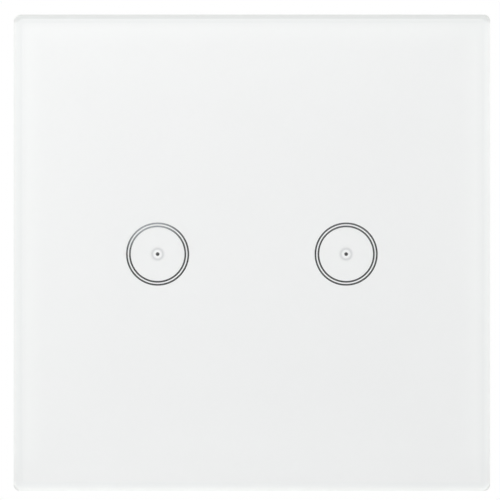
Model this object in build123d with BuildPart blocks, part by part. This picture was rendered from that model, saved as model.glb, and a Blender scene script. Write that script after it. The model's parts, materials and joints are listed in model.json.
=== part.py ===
from build123d import *
from math import cos, pi, sin, sqrt
import os

os.makedirs("parts", exist_ok=True)

# A two-gang touch wall switch with a glass front, in millimetres.
# X is to the right and Z is up, as seen from the room. The wall is the plane Y = 0.
# The origin is the centre of the two wall screws, and the glass faces -Y.
# Places along Y are given as a depth: the distance in front of the wall.
# What lies inside the wall has a negative depth.

# Glass and what is bonded behind it
panel_width = 86.0
panel_height = 86.0
glass_thickness = 4.0
glass_corner = 1.1
bevel_width = 1.5
bevel_depth = 0.8
glass_arris = 0.3
glass_front_corner = 0.4
laminate_gap = 0.03
film_thickness = 0.25
film_margin = 0.45
adhesive_thickness = 0.35
adhesive_inset = 0.5
adhesive_width = 4.6

# Printed key marks
key_pitch = 34.1
key_drop = 0.25
ring_radii = (5.56, 5.02)
ring_line = 0.3
dot_radius = 0.30
print_depth = 0.12
print_fit = 0.01

# Plastic frame on the back of the glass
frame_margin = 0.7
frame_corner = 1.0
skirt_wall = 1.6
skirt_gap = 0.6
skirt_edge = 0.25
ledge_width = 6.0
ledge_thickness = 1.4
pry_notch_width = 10.0
pry_notch_height = 1.4

# Snap hooks of the frame
hook_spread = 24.0
hook_width = 8.0
hook_thickness = 1.0
hook_length = 2.8
hook_gap = 0.25
barb_height = 0.8
barb_lead = 0.7
barb_land = 0.5
window_gap = 0.2
window_side = 0.5

# Base frame on the wall
base_gap = 0.3
base_corner = 1.2
rim_wall = 1.6
rim_clearance = 0.4
floor_thickness = 1.8
rim_edge = 0.3
housing_recess = 0.6
wall_screw_spacing = 60.3
wall_slot_length = 8.0
wall_slot_width = 4.2
board_pad_radius = 1.2
board_pad_gap = 0.1

# Touch board and what stands on it
touch_board_width = 66.0
touch_board_height = 60.0
touch_board_thickness = 1.2
touch_board_lift = 0.4
working_height = 3.35
screw_bay_width = 10.0
screw_bay_reach = 5.75
standoff_radius = 2.0
standoff_inset_x = 4.0
standoff_inset_z = 6.0
spring_wire = 0.4
spring_radius = 4.2
spring_turns = 3
spring_foot_gap = 0.05
spring_tip_gap = 0.1
tunnel_outer_radius = 1.7
tunnel_inner_radius = 1.2
tunnel_height = 2.6
led_length = 1.6
led_width = 0.8
led_height = 0.6
led_lens_length = 1.0
module_width = 16.0
module_height = 17.0
module_thickness = 0.8
module_z = 10.6
can_width = 12.0
can_height = 10.0
can_depth = 1.9
can_drop = 2.6
can_corner = 0.5
can_edge = 0.25

# Chips with bent feet
touch_chip_z = -13.0
touch_chip_width = 10.0
touch_chip_feet = 8
power_chip_width = 5.0
power_chip_feet = 4
chip_height = 4.0
chip_thickness = 1.4
chip_lift = 0.1
chip_foot_width = 0.4
chip_foot_thickness = 0.2
chip_foot_reach = 1.0

# Rear housing in the wall box
housing_width = 50.0
housing_height = 54.0
housing_depth = 25.0
housing_wall = 1.8
housing_corner = 3.0
housing_edge = 1.0
boss_inset = 3.6
boss_radius = 3.4
counterbore_radius = 2.5
screw_seat_depth = 17.0
board_rib_width = 3.0
board_rib_depth = 1.6
board_rib_spread = 8.0
vent_count = 5
vent_pitch = 4.0
vent_width = 1.6
vent_length = 12.0
vent_z = 6.0
driver_hole_radius = 1.9
wire_entry_radius = 2.3
label_width = 34.0
label_height = 7.0
label_depth = 0.3
label_z = -8.4
label_corner = 1.0

# Screws that hold the housing and the touch board
screw_fit = 0.05
housing_screw_radius = 1.2
housing_screw_head_radius = 2.3
housing_screw_head_height = 1.8
housing_screw_head_edge = 0.6
housing_screw_bite = 3.9
screw_post_radius = 2.4
screw_post_height = 3.2
board_screw_radius = 1.0
board_screw_head_radius = 1.9
board_screw_head_height = 1.0
board_screw_head_edge = 0.33
board_screw_length = 2.7
recess_width = 0.7
recess_depth = 0.8

# Power board
board_edge_gap = 0.2
board_corner_gap = 0.4
power_board_gap = 1.2
power_board_thickness = 1.6
pin_stub = 0.8
pin_hole_gap = 0.1
thin_pin = 0.3
thick_pin = 0.5

# Rows up the power board and columns across it, which share the room in the housing
block_row = 12.4
relay_row = 20.0
supply_row = 11.6
header_row = 5.0
row_gap = 0.6
relay_column = 15.0
can_column = 10.8
column_gap = 0.6
can_clearance = 0.4
input_capacitor_down = 4.6
varistor_up = 3.4
fuse_up = 8.8

# Header between the two boards
header_pins_count = 7
header_pitch = 2.0
header_strip_width = 2.2
header_strip_height = 1.0
header_socket_width = 4.2
header_socket_gap = 0.1
header_end = 2.0
header_window_gap = 0.5
tail_length = 1.7

# Relay
relay_height = 15.4
case_wall = 0.7
case_lift = 0.2
relay_base_thickness = 2.3
relay_base_gap = 0.1
yoke_thickness = 1.2
yoke_width = 10.0
yoke_room = 3.7
yoke_top = 12.95
coil_end_room = 0.9
coil_yoke_room = 2.0
core_radius = 2.0
core_gap = 0.05
pole_radius = 3.4
pole_thickness = 0.55
pole_top = 12.3
bobbin_wall = 0.55
bobbin_flange = 0.7
winding_step = 0.4
winding_gap = 0.05
armature_width = 9.0
armature_thickness = 1.0
armature_lift = 0.1
armature_overhang = 0.4
armature_leg_gap = 0.5
armature_leg_thickness = 0.8
armature_leg_end = 9.5
blade_width = 5.0
blade_thickness = 0.3
blade_top = 12.5
blade_end = 4.5
contact_radius = 1.2
contact_level = 5.5
moving_contact_height = 0.5
contact_opening = 0.55
fixed_contact_height = 0.4
fixed_strip_width = 3.0
fixed_strip_thickness = 0.45
fixed_strip_top = 7.0
fixed_lug_width = 1.0
coil_pin_radius = 0.4
coil_pin_top = 5.0
coil_pin_x = 4.5
coil_pin_inset = 0.8

# Power supply pieces
core_width = 12.0
core_depth = 5.0
core_height = 10.0
core_back = 1.6
core_window = 2.8
core_leg = 3.2
winding_inset = 0.6
winding_clear = 0.2
winding_corner = 1.0
bobbin_base_width = 11.0
bobbin_base_height = 1.2
transformer_pin_inset = 0.8
inductor_radius = 2.6
inductor_height = 7.0
drum_flange = 0.9
drum_step = 0.4
input_capacitor_height = 16.0
output_capacitor_radius = 4.0
output_capacitor_height = 12.0
capacitor_crimp = 0.4
capacitor_groove_height = 1.4
varistor_radius = 4.5
varistor_thickness = 3.4
varistor_lift = 1.5
varistor_edge = 0.85
fuse_radius = 1.5
fuse_edge = 0.5
fuse_length = 6.6
fuse_lift = 0.6
fuse_lead_reach = 1.2
lead_spacing = 5.0
inductor_lead_spacing = 2.5

# Terminals
way_count = 4
block_side_room = 0.6
cell_wall = 1.4
entry_wall = 2.0
side_wall = 0.9
inner_wall = 1.5
back_wall = 0.9
block_gap = 0.2
cell_gap = 0.4
cell_floor_gap = 0.5
cage_side = 1.0
cage_top = 1.4
cage_bottom = 1.2
cage_clear = 0.3
wire_space = 3.4
wire_hole_radius = 1.7
closed_gap = 0.4
plate_side_gap = 0.3
plate_thickness = 1.0
plate_gap = 0.1
plate_seat = 0.5
terminal_screw_radius = 1.5
terminal_head_radius = 2.4
terminal_head_height = 2.0
terminal_head_edge = 0.4
head_gap = 0.3
tip_gap = 0.1
head_reserve = 0.7
terminal_recess_length = 3.4

# Depths in front of the wall, worked out from the sizes
touch_board_back = floor_thickness + touch_board_lift
touch_board_front = touch_board_back + touch_board_thickness
film_back = touch_board_front + working_height
film_front = film_back + film_thickness
glass_back = film_front + laminate_gap
glass_front = glass_back + glass_thickness
frame_front = film_back - adhesive_thickness
ledge_back = frame_front - ledge_thickness
rim_front = ledge_back - rim_clearance

# Depths inside the wall, worked out from the sizes
housing_front = housing_recess
housing_back = -housing_depth
housing_inner_back = housing_wall - housing_depth
power_board_front = -power_board_gap
power_board_back = power_board_front - power_board_thickness
pin_end = power_board_front + pin_stub
screw_seat = housing_back + screw_seat_depth
terminal_head_back = housing_inner_back + head_gap
terminal_head_front = terminal_head_back + terminal_head_height
cage_travel = wire_space - closed_gap
terminal_screw_length = cage_clear + cage_top + cage_travel + head_reserve - tip_gap
terminal_tip = terminal_head_front + terminal_screw_length
plate_back = terminal_tip + tip_gap
plate_front = plate_back + plate_thickness
cage_top_front = plate_back - cage_clear
cage_bottom_back = plate_front + wire_space
cage_front = cage_bottom_back + cage_bottom
wire_level = (plate_front + cage_bottom_back) / 2
cell_floor = cage_front + cell_floor_gap

# Widths and heights worked out from the sizes
frame_width = panel_width - 2 * frame_margin
frame_height = panel_height - 2 * frame_margin
base_width = frame_width - 2 * (skirt_wall + base_gap)
base_height = frame_height - 2 * (skirt_wall + base_gap)
rim_inner_height = base_height - 2 * rim_wall
inner_width = housing_width - 2 * housing_wall
inner_height = housing_height - 2 * housing_wall
power_board_width = inner_width - 2 * board_edge_gap
power_board_height = inner_height - 2 * board_edge_gap
boss_x = housing_width / 2 - boss_inset
boss_z = housing_height / 2 - boss_inset
standoff_x = touch_board_width / 2 - standoff_inset_x
standoff_z = touch_board_height / 2 - standoff_inset_z

# Rows and columns: each takes its share of the room between the housing's walls
row_fit = (inner_height - block_gap) / (block_row + relay_row + supply_row + header_row + 2 * row_gap)
column_fit = (inner_width - 2 * board_rib_depth) / (2 * relay_column + can_column + 4 * column_gap)
block_bottom = block_gap - inner_height / 2
block_length = block_row * row_fit
relay_length = relay_row * row_fit
relay_width = relay_column * column_fit
relay_z = block_bottom + block_length + row_gap * row_fit + relay_length / 2
supply_length = supply_row * row_fit
supply_z = relay_z + (relay_length + supply_length) / 2 + row_gap * row_fit
header_z = (inner_height - header_row * row_fit) / 2
header_width = header_pins_count * header_pitch + header_end
relay_left_x = board_rib_depth - inner_width / 2 + column_gap * column_fit + relay_width / 2
relay_right_x = relay_left_x + relay_width + column_gap * column_fit
can_x = relay_right_x + relay_width / 2 + (column_gap + can_column / 2) * column_fit
input_capacitor_radius = can_column * column_fit / 2 - can_clearance
input_capacitor_z = relay_z - input_capacitor_down * row_fit
varistor_z = relay_z + varistor_up * row_fit
fuse_z = relay_z + fuse_up * row_fit
transformer_x = (relay_left_x + relay_right_x) / 2
inductor_x = (transformer_x + core_width / 2 + can_x - output_capacitor_radius) / 2
power_chip_x = relay_left_x - (relay_width - power_chip_width) / 2

# Inside the relay, measured from its middle
case_inner_width = relay_width - 2 * case_wall
case_inner_length = relay_length - 2 * case_wall
yoke_back = yoke_room - case_inner_length / 2
coil_end = case_inner_length / 2 - coil_end_room
bobbin_flange_radius = (coil_end - yoke_back - yoke_thickness - coil_yoke_room) / 2
winding_radius = bobbin_flange_radius - winding_step
coil_offset = coil_end - bobbin_flange_radius
armature_reach = coil_offset + pole_radius + armature_overhang
coil_pin_z = case_inner_length / 2 - coil_pin_inset

# Terminal ways, which share the room between the screw bosses
block_width = 2 * (boss_x - boss_radius - block_side_room)
way_pitch = (block_width - 2 * side_wall + cell_wall) / way_count
cell_width = way_pitch - cell_wall
cage_width = cell_width - 2 * cell_gap
channel_length = plate_thickness + 2 * plate_gap
cell_length = block_length - entry_wall - inner_wall - channel_length - back_wall
cage_length = cell_length - 2 * cell_gap
plate_width = cage_width - 2 * (cage_side + plate_side_gap)
plate_pin_spread = plate_width / 2 - thick_pin
cell_bottom = block_bottom + entry_wall
way_z = cell_bottom + cell_length / 2
leg_bottom = cell_bottom + cell_length + inner_wall + plate_gap

# Spots, each as (x, z)
key_spots = [(-key_pitch / 2, -key_drop), (key_pitch / 2, -key_drop)]
wall_screw_spots = [(-wall_screw_spacing / 2, 0), (wall_screw_spacing / 2, 0)]
boss_spots = [(x, z) for x in (-boss_x, boss_x) for z in (-boss_z, boss_z)]
standoff_spots = [(x, z) for x in (-standoff_x, standoff_x) for z in (-standoff_z, standoff_z)]
rib_spots = [(side * (inner_width - board_rib_depth) / 2, z)
             for side in (-1, 1) for z in (-board_rib_spread, board_rib_spread)]
pad_spots = [(side * (inner_width / 2 - board_rib_depth), z)
             for side in (-1, 1) for z in (-board_rib_spread, board_rib_spread)]
header_spots = [((n - (header_pins_count - 1) / 2) * header_pitch, header_z)
                for n in range(header_pins_count)]
way_spots = [((n - (way_count - 1) / 2) * way_pitch, way_z) for n in range(way_count)]
plate_pin_spots = [(x + side * plate_pin_spread, leg_bottom + plate_thickness / 2)
                   for x, z in way_spots for side in (-1, 1)]
coil_pin_offsets = [(-coil_pin_x, coil_pin_z), (coil_pin_x, coil_pin_z)]
common_pin_offset = (0, yoke_back + yoke_thickness / 2)


def pair(x, z, spacing):
    """Two lead spots side by side along X."""
    return [(x - spacing / 2, z), (x + spacing / 2, z)]


transformer_pin_x = bobbin_base_width / 2 - transformer_pin_inset
transformer_pin_z = supply_length / 2 - transformer_pin_inset
transformer_pin_spots = [(transformer_x + side * transformer_pin_x, supply_z + end * transformer_pin_z)
                         for side in (-1, 1) for end in (-1, 1)]
inductor_pin_spots = pair(inductor_x, supply_z, inductor_lead_spacing)
input_capacitor_pin_spots = pair(can_x, input_capacitor_z, lead_spacing)
output_capacitor_pin_spots = pair(can_x, supply_z, lead_spacing)
varistor_pin_spots = pair(can_x, varistor_z, lead_spacing)
fuse_pin_spots = pair(can_x, fuse_z, fuse_length + 2 * fuse_lead_reach)


# Shapes that repeat

def at_depth(depth):
    """The plane at this depth, facing the room, with X to the right and Z up."""
    return Plane.XZ.offset(depth)


def above_board(height):
    """The depth of a level that stands this high on the power board's component side."""
    return power_board_back - height


def slab(back, front, width, height, centre=(0, 0), mode=Mode.ADD):
    """Add or cut a rectangular block between two depths."""
    with BuildSketch(at_depth(back)) as outline:
        with Locations(centre):
            Rectangle(width, height)
    extrude(outline.sketch, amount=front - back, mode=mode)


def rods(back, front, radius, spots, mode=Mode.ADD):
    """Add or cut round rods of one radius between two depths."""
    with BuildSketch(at_depth(back)) as outline:
        with Locations(*spots):
            Circle(radius)
    extrude(outline.sketch, amount=front - back, mode=mode)


def cross_recess(back, front, length, spots):
    """Cut a cross for the screwdriver into each screw head."""
    with BuildSketch(at_depth(back)) as outline:
        with Locations(*spots):
            Rectangle(length, recess_width)
            Rectangle(recess_width, length)
    extrude(outline.sketch, amount=front - back, mode=Mode.SUBTRACT)


def save(piece, name):
    """Name one finished piece and write it to its own file."""
    piece.part.label = name
    export_step(piece.part, f"parts/{name}.step")


# Glass panel: a flat plate whose front edge is bevelled all round
with BuildPart() as glass_panel:
    with BuildSketch(at_depth(glass_back)):
        RectangleRounded(panel_width, panel_height, glass_corner)
    extrude(amount=glass_thickness - bevel_depth)
    chamfer(edges().group_by(Axis.Y)[-1], glass_arris)
    with BuildSketch(at_depth(glass_front - bevel_depth)):
        RectangleRounded(panel_width, panel_height, glass_corner)
    with BuildSketch(at_depth(glass_front)):
        RectangleRounded(panel_width - 2 * bevel_width, panel_height - 2 * bevel_width, glass_front_corner)
    loft(ruled=True)
save(glass_panel, "glass_panel")


def ring_outline(line):
    """The two thin rings round each key."""
    with BuildSketch(at_depth(film_front - print_depth)) as rings:
        with Locations(*key_spots):
            for radius in ring_radii:
                Circle(radius + line / 2)
                Circle(radius - line / 2, mode=Mode.SUBTRACT)
    return rings.sketch


# White backing film, with shallow grooves that hold the printed marks
with BuildPart() as backing_film:
    with BuildSketch(at_depth(film_back)):
        RectangleRounded(panel_width - 2 * film_margin, panel_height - 2 * film_margin, frame_corner)
    extrude(amount=film_thickness)
    extrude(ring_outline(ring_line + 2 * print_fit), amount=print_depth, mode=Mode.SUBTRACT)
    rods(film_front - print_depth, film_front, dot_radius + print_fit, key_spots, Mode.SUBTRACT)
save(backing_film, "backing_film")

# Printed rings round the two keys
with BuildPart() as touch_ring_marks:
    extrude(ring_outline(ring_line), amount=print_depth)
save(touch_ring_marks, "touch_ring_marks")

# Small windows that the indicator lamps shine through
with BuildPart() as indicator_windows:
    rods(film_front - print_depth, film_front, dot_radius, key_spots)
save(indicator_windows, "indicator_windows")

# Double-sided tape between the film and the frame
with BuildPart() as adhesive_ring:
    with BuildSketch(at_depth(frame_front)):
        Rectangle(frame_width - 2 * adhesive_inset, frame_height - 2 * adhesive_inset)
        offset(amount=-adhesive_width, kind=Kind.INTERSECTION, mode=Mode.SUBTRACT)
    extrude(amount=adhesive_thickness)
save(adhesive_ring, "adhesive_ring")

# Frame bonded to the glass: a skirt that hides the base, and a ledge for the tape
with BuildPart() as panel_frame:
    with BuildSketch(at_depth(skirt_gap)):
        RectangleRounded(frame_width, frame_height, frame_corner)
        Rectangle(frame_width - 2 * skirt_wall, frame_height - 2 * skirt_wall, mode=Mode.SUBTRACT)
    extrude(amount=frame_front - skirt_gap)
    with BuildSketch(at_depth(ledge_back)):
        Rectangle(frame_width - skirt_wall, frame_height - skirt_wall)
        Rectangle(frame_width - 2 * ledge_width, frame_height - 2 * ledge_width, mode=Mode.SUBTRACT)
    extrude(amount=ledge_thickness)
    fillet(edges().group_by(Axis.Y)[-1].group_by(SortBy.LENGTH)[-1], skirt_edge)
    slab(skirt_gap, skirt_gap + pry_notch_height, pry_notch_width, 4 * skirt_wall,
         (0, -frame_height / 2), Mode.SUBTRACT)
save(panel_frame, "panel_frame")

# Snap hooks: tongues behind the ledge, with barbs that catch in the rim of the base
hook_outer = rim_inner_height / 2 - hook_gap
hook_tip = ledge_back - hook_length
barb_front = hook_tip + barb_lead + barb_land + window_gap
with BuildPart() as frame_snap_hooks:
    with BuildSketch(Plane.YZ.offset(hook_spread - hook_width / 2)):
        with BuildLine():
            Polyline(
                (-ledge_back, hook_outer - hook_thickness),
                (-ledge_back, hook_outer),
                (-barb_front, hook_outer),
                (-hook_tip - barb_lead - barb_land, hook_outer + barb_height),
                (-hook_tip - barb_lead, hook_outer + barb_height),
                (-hook_tip, hook_outer),
                (-hook_tip, hook_outer - hook_thickness),
                close=True,
            )
        make_face()
    extrude(amount=hook_width)
    mirror(about=Plane.YZ)
    mirror(about=Plane.XY)
save(frame_snap_hooks, "frame_snap_hooks")

# Base frame: the plate that the wall screws hold, with a rim that the hooks catch
with BuildPart() as base_frame:
    with BuildSketch(at_depth(0)):
        RectangleRounded(base_width, base_height, base_corner)
    extrude(amount=floor_thickness)
    with BuildSketch(at_depth(floor_thickness)):
        RectangleRounded(base_width, base_height, base_corner)
        Rectangle(base_width - 2 * rim_wall, rim_inner_height, mode=Mode.SUBTRACT)
    extrude(amount=rim_front - floor_thickness)
    chamfer(edges().group_by(Axis.Y)[0], rim_edge)
    slab(0, housing_recess, housing_width + 2 * base_gap, housing_height + 2 * base_gap,
         mode=Mode.SUBTRACT)
    with BuildSketch(at_depth(0)):
        with Locations(*wall_screw_spots):
            SlotOverall(wall_slot_length, wall_slot_width)
    extrude(amount=floor_thickness, mode=Mode.SUBTRACT)
    for side in (-1, 1):
        for x in (-hook_spread, hook_spread):
            slab(hook_tip - window_gap, barb_front + window_gap, hook_width + 2 * window_side,
                 2 * rim_wall, (x, side * base_height / 2), Mode.SUBTRACT)
    rods(floor_thickness, floor_thickness + screw_post_height, screw_post_radius, boss_spots)
    rods(0, housing_screw_bite + screw_fit, housing_screw_radius + screw_fit, boss_spots, Mode.SUBTRACT)
    rods(floor_thickness, touch_board_back, standoff_radius, standoff_spots)
    rods(touch_board_front - board_screw_length - screw_fit, touch_board_back,
         board_screw_radius + screw_fit, standoff_spots, Mode.SUBTRACT)
    rods(power_board_front + board_pad_gap, housing_recess, board_pad_radius, pad_spots)
    slab(0, floor_thickness, header_width + 2 * header_window_gap,
         header_socket_width + 2 * header_window_gap, (0, header_z), Mode.SUBTRACT)
save(base_frame, "base_frame")

# Touch board, with bays that keep clear of the wall screws' heads
with BuildPart() as touch_board:
    slab(touch_board_back, touch_board_front, touch_board_width, touch_board_height)
    bay_middle = wall_screw_spacing / 2 - screw_bay_reach + touch_board_width / 4
    for side in (-1, 1):
        slab(touch_board_back, touch_board_front, touch_board_width / 2, screw_bay_width,
             (side * bay_middle, 0), Mode.SUBTRACT)
    rods(touch_board_back, touch_board_front, screw_post_radius + base_gap, boss_spots, Mode.SUBTRACT)
    rods(touch_board_back, touch_board_front, board_screw_radius + pin_hole_gap, standoff_spots,
         Mode.SUBTRACT)
    rods(touch_board_back, touch_board_front, thin_pin + pin_hole_gap, header_spots, Mode.SUBTRACT)
save(touch_board, "touch_board")

# Screws that hold the touch board on its standoffs
with BuildPart() as board_screws:
    board_screw_top = touch_board_front + board_screw_head_height
    rods(touch_board_front, board_screw_top, board_screw_head_radius, standoff_spots)
    fillet(edges().group_by(Axis.Y)[0], board_screw_head_edge)
    rods(touch_board_front - board_screw_length, touch_board_front, board_screw_radius, standoff_spots)
    cross_recess(board_screw_top - recess_depth, board_screw_top, board_screw_head_radius, standoff_spots)
save(board_screws, "board_screws")


def helix_place(centre, start, rise_per_turn, turn):
    """A point on a spring's centre line, and the direction there."""
    angle = 2 * pi * turn
    point = Vector(centre[0] + spring_radius * cos(angle),
                   -start - rise_per_turn * turn,
                   centre[1] + spring_radius * sin(angle))
    direction = Vector(-spring_radius * sin(angle), -rise_per_turn / (2 * pi), spring_radius * cos(angle))
    return point, direction.normalized()


def arc_pair(start, start_direction, end, end_direction):
    """Two tangent arcs that leave one point and reach another in the given directions."""
    span = end - start
    both = start_direction + end_direction
    spread = 2 * (1 - start_direction.dot(end_direction))
    reach = (sqrt(span.dot(both) ** 2 + spread * span.dot(span)) - span.dot(both)) / spread
    first_corner = start + start_direction * reach
    last_corner = end - end_direction * reach
    middle = (first_corner + last_corner) * 0.5
    TangentArc(start, middle, tangent=start_direction)
    TangentArc(middle, end, tangent=last_corner - first_corner)


def touch_spring(name, centre):
    """A coil spring that carries the touch signal from the board to the back of the film."""
    start = touch_board_front + spring_foot_gap + spring_wire / 2
    end = film_back - spring_tip_gap - spring_wire / 2
    rise_per_turn = (end - start) / spring_turns
    print(name, "least gap between turns", round(rise_per_turn * cos(
        rise_per_turn / (2 * pi * spring_radius)) - spring_wire, 3))
    with BuildPart() as spring:
        with BuildLine() as wire:
            for quarter in range(4 * spring_turns):
                here = helix_place(centre, start, rise_per_turn, quarter / 4)
                there = helix_place(centre, start, rise_per_turn, (quarter + 1) / 4)
                arc_pair(*here, *there)
        first, direction = helix_place(centre, start, rise_per_turn, 0)
        with BuildSketch(Plane(origin=first, z_dir=direction)):
            Circle(spring_wire / 2)
        sweep(path=wire.wires()[0])
    save(spring, name)


def light_tunnel(name, centre):
    """A short tube that keeps the lamp's light inside its key."""
    with BuildPart() as tunnel:
        rods(touch_board_front, touch_board_front + tunnel_height, tunnel_outer_radius, [centre])
        rods(touch_board_front, touch_board_front + tunnel_height, tunnel_inner_radius, [centre],
             Mode.SUBTRACT)
    save(tunnel, name)


def indicator_led(name, centre):
    """A small surface-mounted lamp with a lens narrower than its base."""
    with BuildPart() as led:
        slab(touch_board_front, touch_board_front + led_height / 2, led_length, led_width, centre)
        slab(touch_board_front, touch_board_front + led_height, led_lens_length, led_width, centre)
    save(led, name)


for side, key_spot in zip(("left", "right"), key_spots):
    touch_spring(f"touch_spring_{side}", key_spot)
    light_tunnel(f"light_tunnel_{side}", key_spot)
    indicator_led(f"led_{side}", key_spot)

# Radio module: its own small board, with a metal can over the circuit
module_front = touch_board_front + module_thickness
with BuildPart() as wifi_module:
    slab(touch_board_front, module_front, module_width, module_height, (0, module_z))
save(wifi_module, "wifi_module")

with BuildPart() as wifi_shield_can:
    slab(module_front, module_front + can_depth, can_width, can_height, (0, module_z - can_drop))
    fillet(edges().filter_by(Axis.Y), can_corner)
    fillet(edges().group_by(Axis.Y)[0], can_edge)
save(wifi_shield_can, "wifi_shield_can")


def leaded_chip(name, board_face, out, centre, width, feet):
    """A flat chip with a row of bent feet along each long side; out is 1 to the room, -1 to the wall."""
    body = sorted([board_face + out * chip_lift, board_face + out * (chip_lift + chip_thickness)])
    foot = sorted([board_face, board_face + out * chip_foot_thickness])
    foot_pitch = width / feet
    foot_spots = [(centre[0] + (n - (feet - 1) / 2) * foot_pitch, centre[1]) for n in range(feet)]
    with BuildPart() as chip:
        slab(body[0], body[1], width, chip_height, centre)
        for spot in foot_spots:
            slab(foot[0], foot[1], chip_foot_width, chip_height + 2 * chip_foot_reach, spot)
    save(chip, name)


leaded_chip("touch_chip", touch_board_front, 1, (0, touch_chip_z), touch_chip_width, touch_chip_feet)
leaded_chip("power_chip", power_board_back, -1, (power_chip_x, supply_z), power_chip_width, power_chip_feet)

# Socket under the touch board, which reaches through the floor of the base
socket_back = power_board_front + header_strip_height + header_socket_gap
with BuildPart() as header_socket:
    slab(socket_back, touch_board_back, header_width, header_socket_width, (0, header_z))
    rods(socket_back, touch_board_back - header_socket_gap, thin_pin + pin_hole_gap, header_spots,
         Mode.SUBTRACT)
    rods(touch_board_back, touch_board_back + tail_length, thin_pin, header_spots)
save(header_socket, "header_socket")

# Pin strip on the power board, plugged into that socket
with BuildPart() as header_pins:
    slab(power_board_front, power_board_front + header_strip_height, header_width, header_strip_width,
         (0, header_z))
    rods(power_board_back - pin_stub, touch_board_back - 2 * header_socket_gap, thin_pin, header_spots)
save(header_pins, "header_pins")

# Rear housing: the box that goes into the wall box, with a screw boss in each corner and a blank label field
with BuildPart() as rear_housing:
    with BuildSketch(at_depth(housing_back)):
        RectangleRounded(housing_width, housing_height, housing_corner)
    extrude(amount=housing_front - housing_back)
    fillet(edges().group_by(Axis.Y)[-1], housing_edge)
    with BuildSketch(at_depth(housing_inner_back)):
        RectangleRounded(inner_width, inner_height, housing_corner - housing_wall)
    extrude(amount=housing_front - housing_inner_back, mode=Mode.SUBTRACT)
    rods(housing_inner_back - housing_wall / 4, housing_front, boss_radius, boss_spots)
    for spot in rib_spots:
        slab(housing_inner_back, power_board_back, board_rib_depth, board_rib_width, spot)
    rods(housing_back, screw_seat, counterbore_radius, boss_spots, Mode.SUBTRACT)
    rods(screw_seat, housing_front, housing_screw_radius + 2 * screw_fit, boss_spots, Mode.SUBTRACT)
    rods(housing_back, housing_inner_back, driver_hole_radius, way_spots, Mode.SUBTRACT)
    with BuildSketch(at_depth(housing_back)):
        with Locations((0, vent_z)):
            with GridLocations(vent_pitch, 0, vent_count, 1):
                SlotOverall(vent_length, vent_width, rotation=90)
    extrude(amount=housing_wall, mode=Mode.SUBTRACT)
    with BuildSketch(at_depth(housing_back)):
        with Locations((0, label_z)):
            RectangleRounded(label_width, label_height, label_corner)
    extrude(amount=label_depth, mode=Mode.SUBTRACT)
    with BuildSketch(Plane.XY.offset(-housing_height / 2)):
        with Locations(*[(x, -wire_level) for x, z in way_spots]):
            Circle(wire_entry_radius)
    extrude(amount=housing_wall, mode=Mode.SUBTRACT)
save(rear_housing, "rear_housing")

# Screws from the back of the housing into the posts of the base
with BuildPart() as housing_screws:
    screw_head_back = screw_seat - housing_screw_head_height
    rods(screw_head_back, screw_seat, housing_screw_head_radius, boss_spots)
    fillet(edges().group_by(Axis.Y)[-1], housing_screw_head_edge)
    rods(screw_seat, housing_screw_bite, housing_screw_radius, boss_spots)
    cross_recess(screw_head_back, screw_head_back + recess_depth, housing_screw_head_radius, boss_spots)
save(housing_screws, "housing_screws")


def relay_spots(x, offsets):
    """Places in the relay that stands at this x, from offsets measured from its middle."""
    return [(x + dx, relay_z + dz) for dx, dz in offsets]


fixed_face = (yoke_back - armature_leg_gap - armature_leg_thickness - blade_thickness
              - moving_contact_height - contact_opening)
strip_front = fixed_face - fixed_contact_height
strip_middle = strip_front - fixed_strip_thickness / 2
relay_thick_pins = [common_pin_offset, (0, strip_middle)]

# Power board: everything that carries mains current is soldered to it
with BuildPart() as power_board:
    slab(power_board_back, power_board_front, power_board_width, power_board_height)
    for x, z in boss_spots:
        slab(power_board_back, power_board_front, 2 * (boss_radius + board_corner_gap),
             2 * (boss_radius + board_corner_gap), (x, z), Mode.SUBTRACT)
    thin_spots = (header_spots + transformer_pin_spots + inductor_pin_spots + input_capacitor_pin_spots
                  + output_capacitor_pin_spots + varistor_pin_spots + fuse_pin_spots)
    rods(power_board_back, power_board_front, thin_pin + pin_hole_gap, thin_spots, Mode.SUBTRACT)
    thick_spots = list(plate_pin_spots)
    for relay_x in (relay_left_x, relay_right_x):
        thick_spots += relay_spots(relay_x, relay_thick_pins)
        coil_spots = relay_spots(relay_x, coil_pin_offsets)
        rods(power_board_back, power_board_front, coil_pin_radius + pin_hole_gap, coil_spots,
             Mode.SUBTRACT)
    rods(power_board_back, power_board_front, thick_pin + pin_hole_gap, thick_spots, Mode.SUBTRACT)
save(power_board, "power_board")


def relay_case(name, x):
    """The relay's cover, open towards the board."""
    with BuildPart() as case:
        slab(above_board(relay_height), above_board(case_lift), relay_width, relay_length, (x, relay_z))
        fillet(edges().filter_by(Axis.Y), case_wall)
        slab(above_board(relay_height - case_wall), above_board(case_lift), case_inner_width,
             case_inner_length, (x, relay_z), Mode.SUBTRACT)
    save(case, name)


def relay_base(name, x):
    """The plate that closes the relay towards the board, with a hole for each pin."""
    with BuildPart() as base:
        slab(above_board(relay_base_thickness), above_board(0), case_inner_width - 2 * relay_base_gap,
             case_inner_length - 2 * relay_base_gap, (x, relay_z))
        rods(above_board(relay_base_thickness), above_board(0), coil_pin_radius + pin_hole_gap,
             relay_spots(x, coil_pin_offsets), Mode.SUBTRACT)
        rods(above_board(relay_base_thickness), above_board(0), thick_pin + pin_hole_gap,
             relay_spots(x, [common_pin_offset]), Mode.SUBTRACT)
        slab(above_board(relay_base_thickness), above_board(0), fixed_strip_width + 2 * relay_base_gap,
             fixed_strip_thickness + 2 * relay_base_gap, (x, relay_z + strip_middle), Mode.SUBTRACT)
        edge_cut = case_inner_length / 2 + strip_middle
        slab(above_board(relay_base_thickness), above_board(0), fixed_strip_width + 2 * relay_base_gap,
             edge_cut, (x, relay_z + strip_middle - edge_cut / 2), Mode.SUBTRACT)
    save(base, name)


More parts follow.
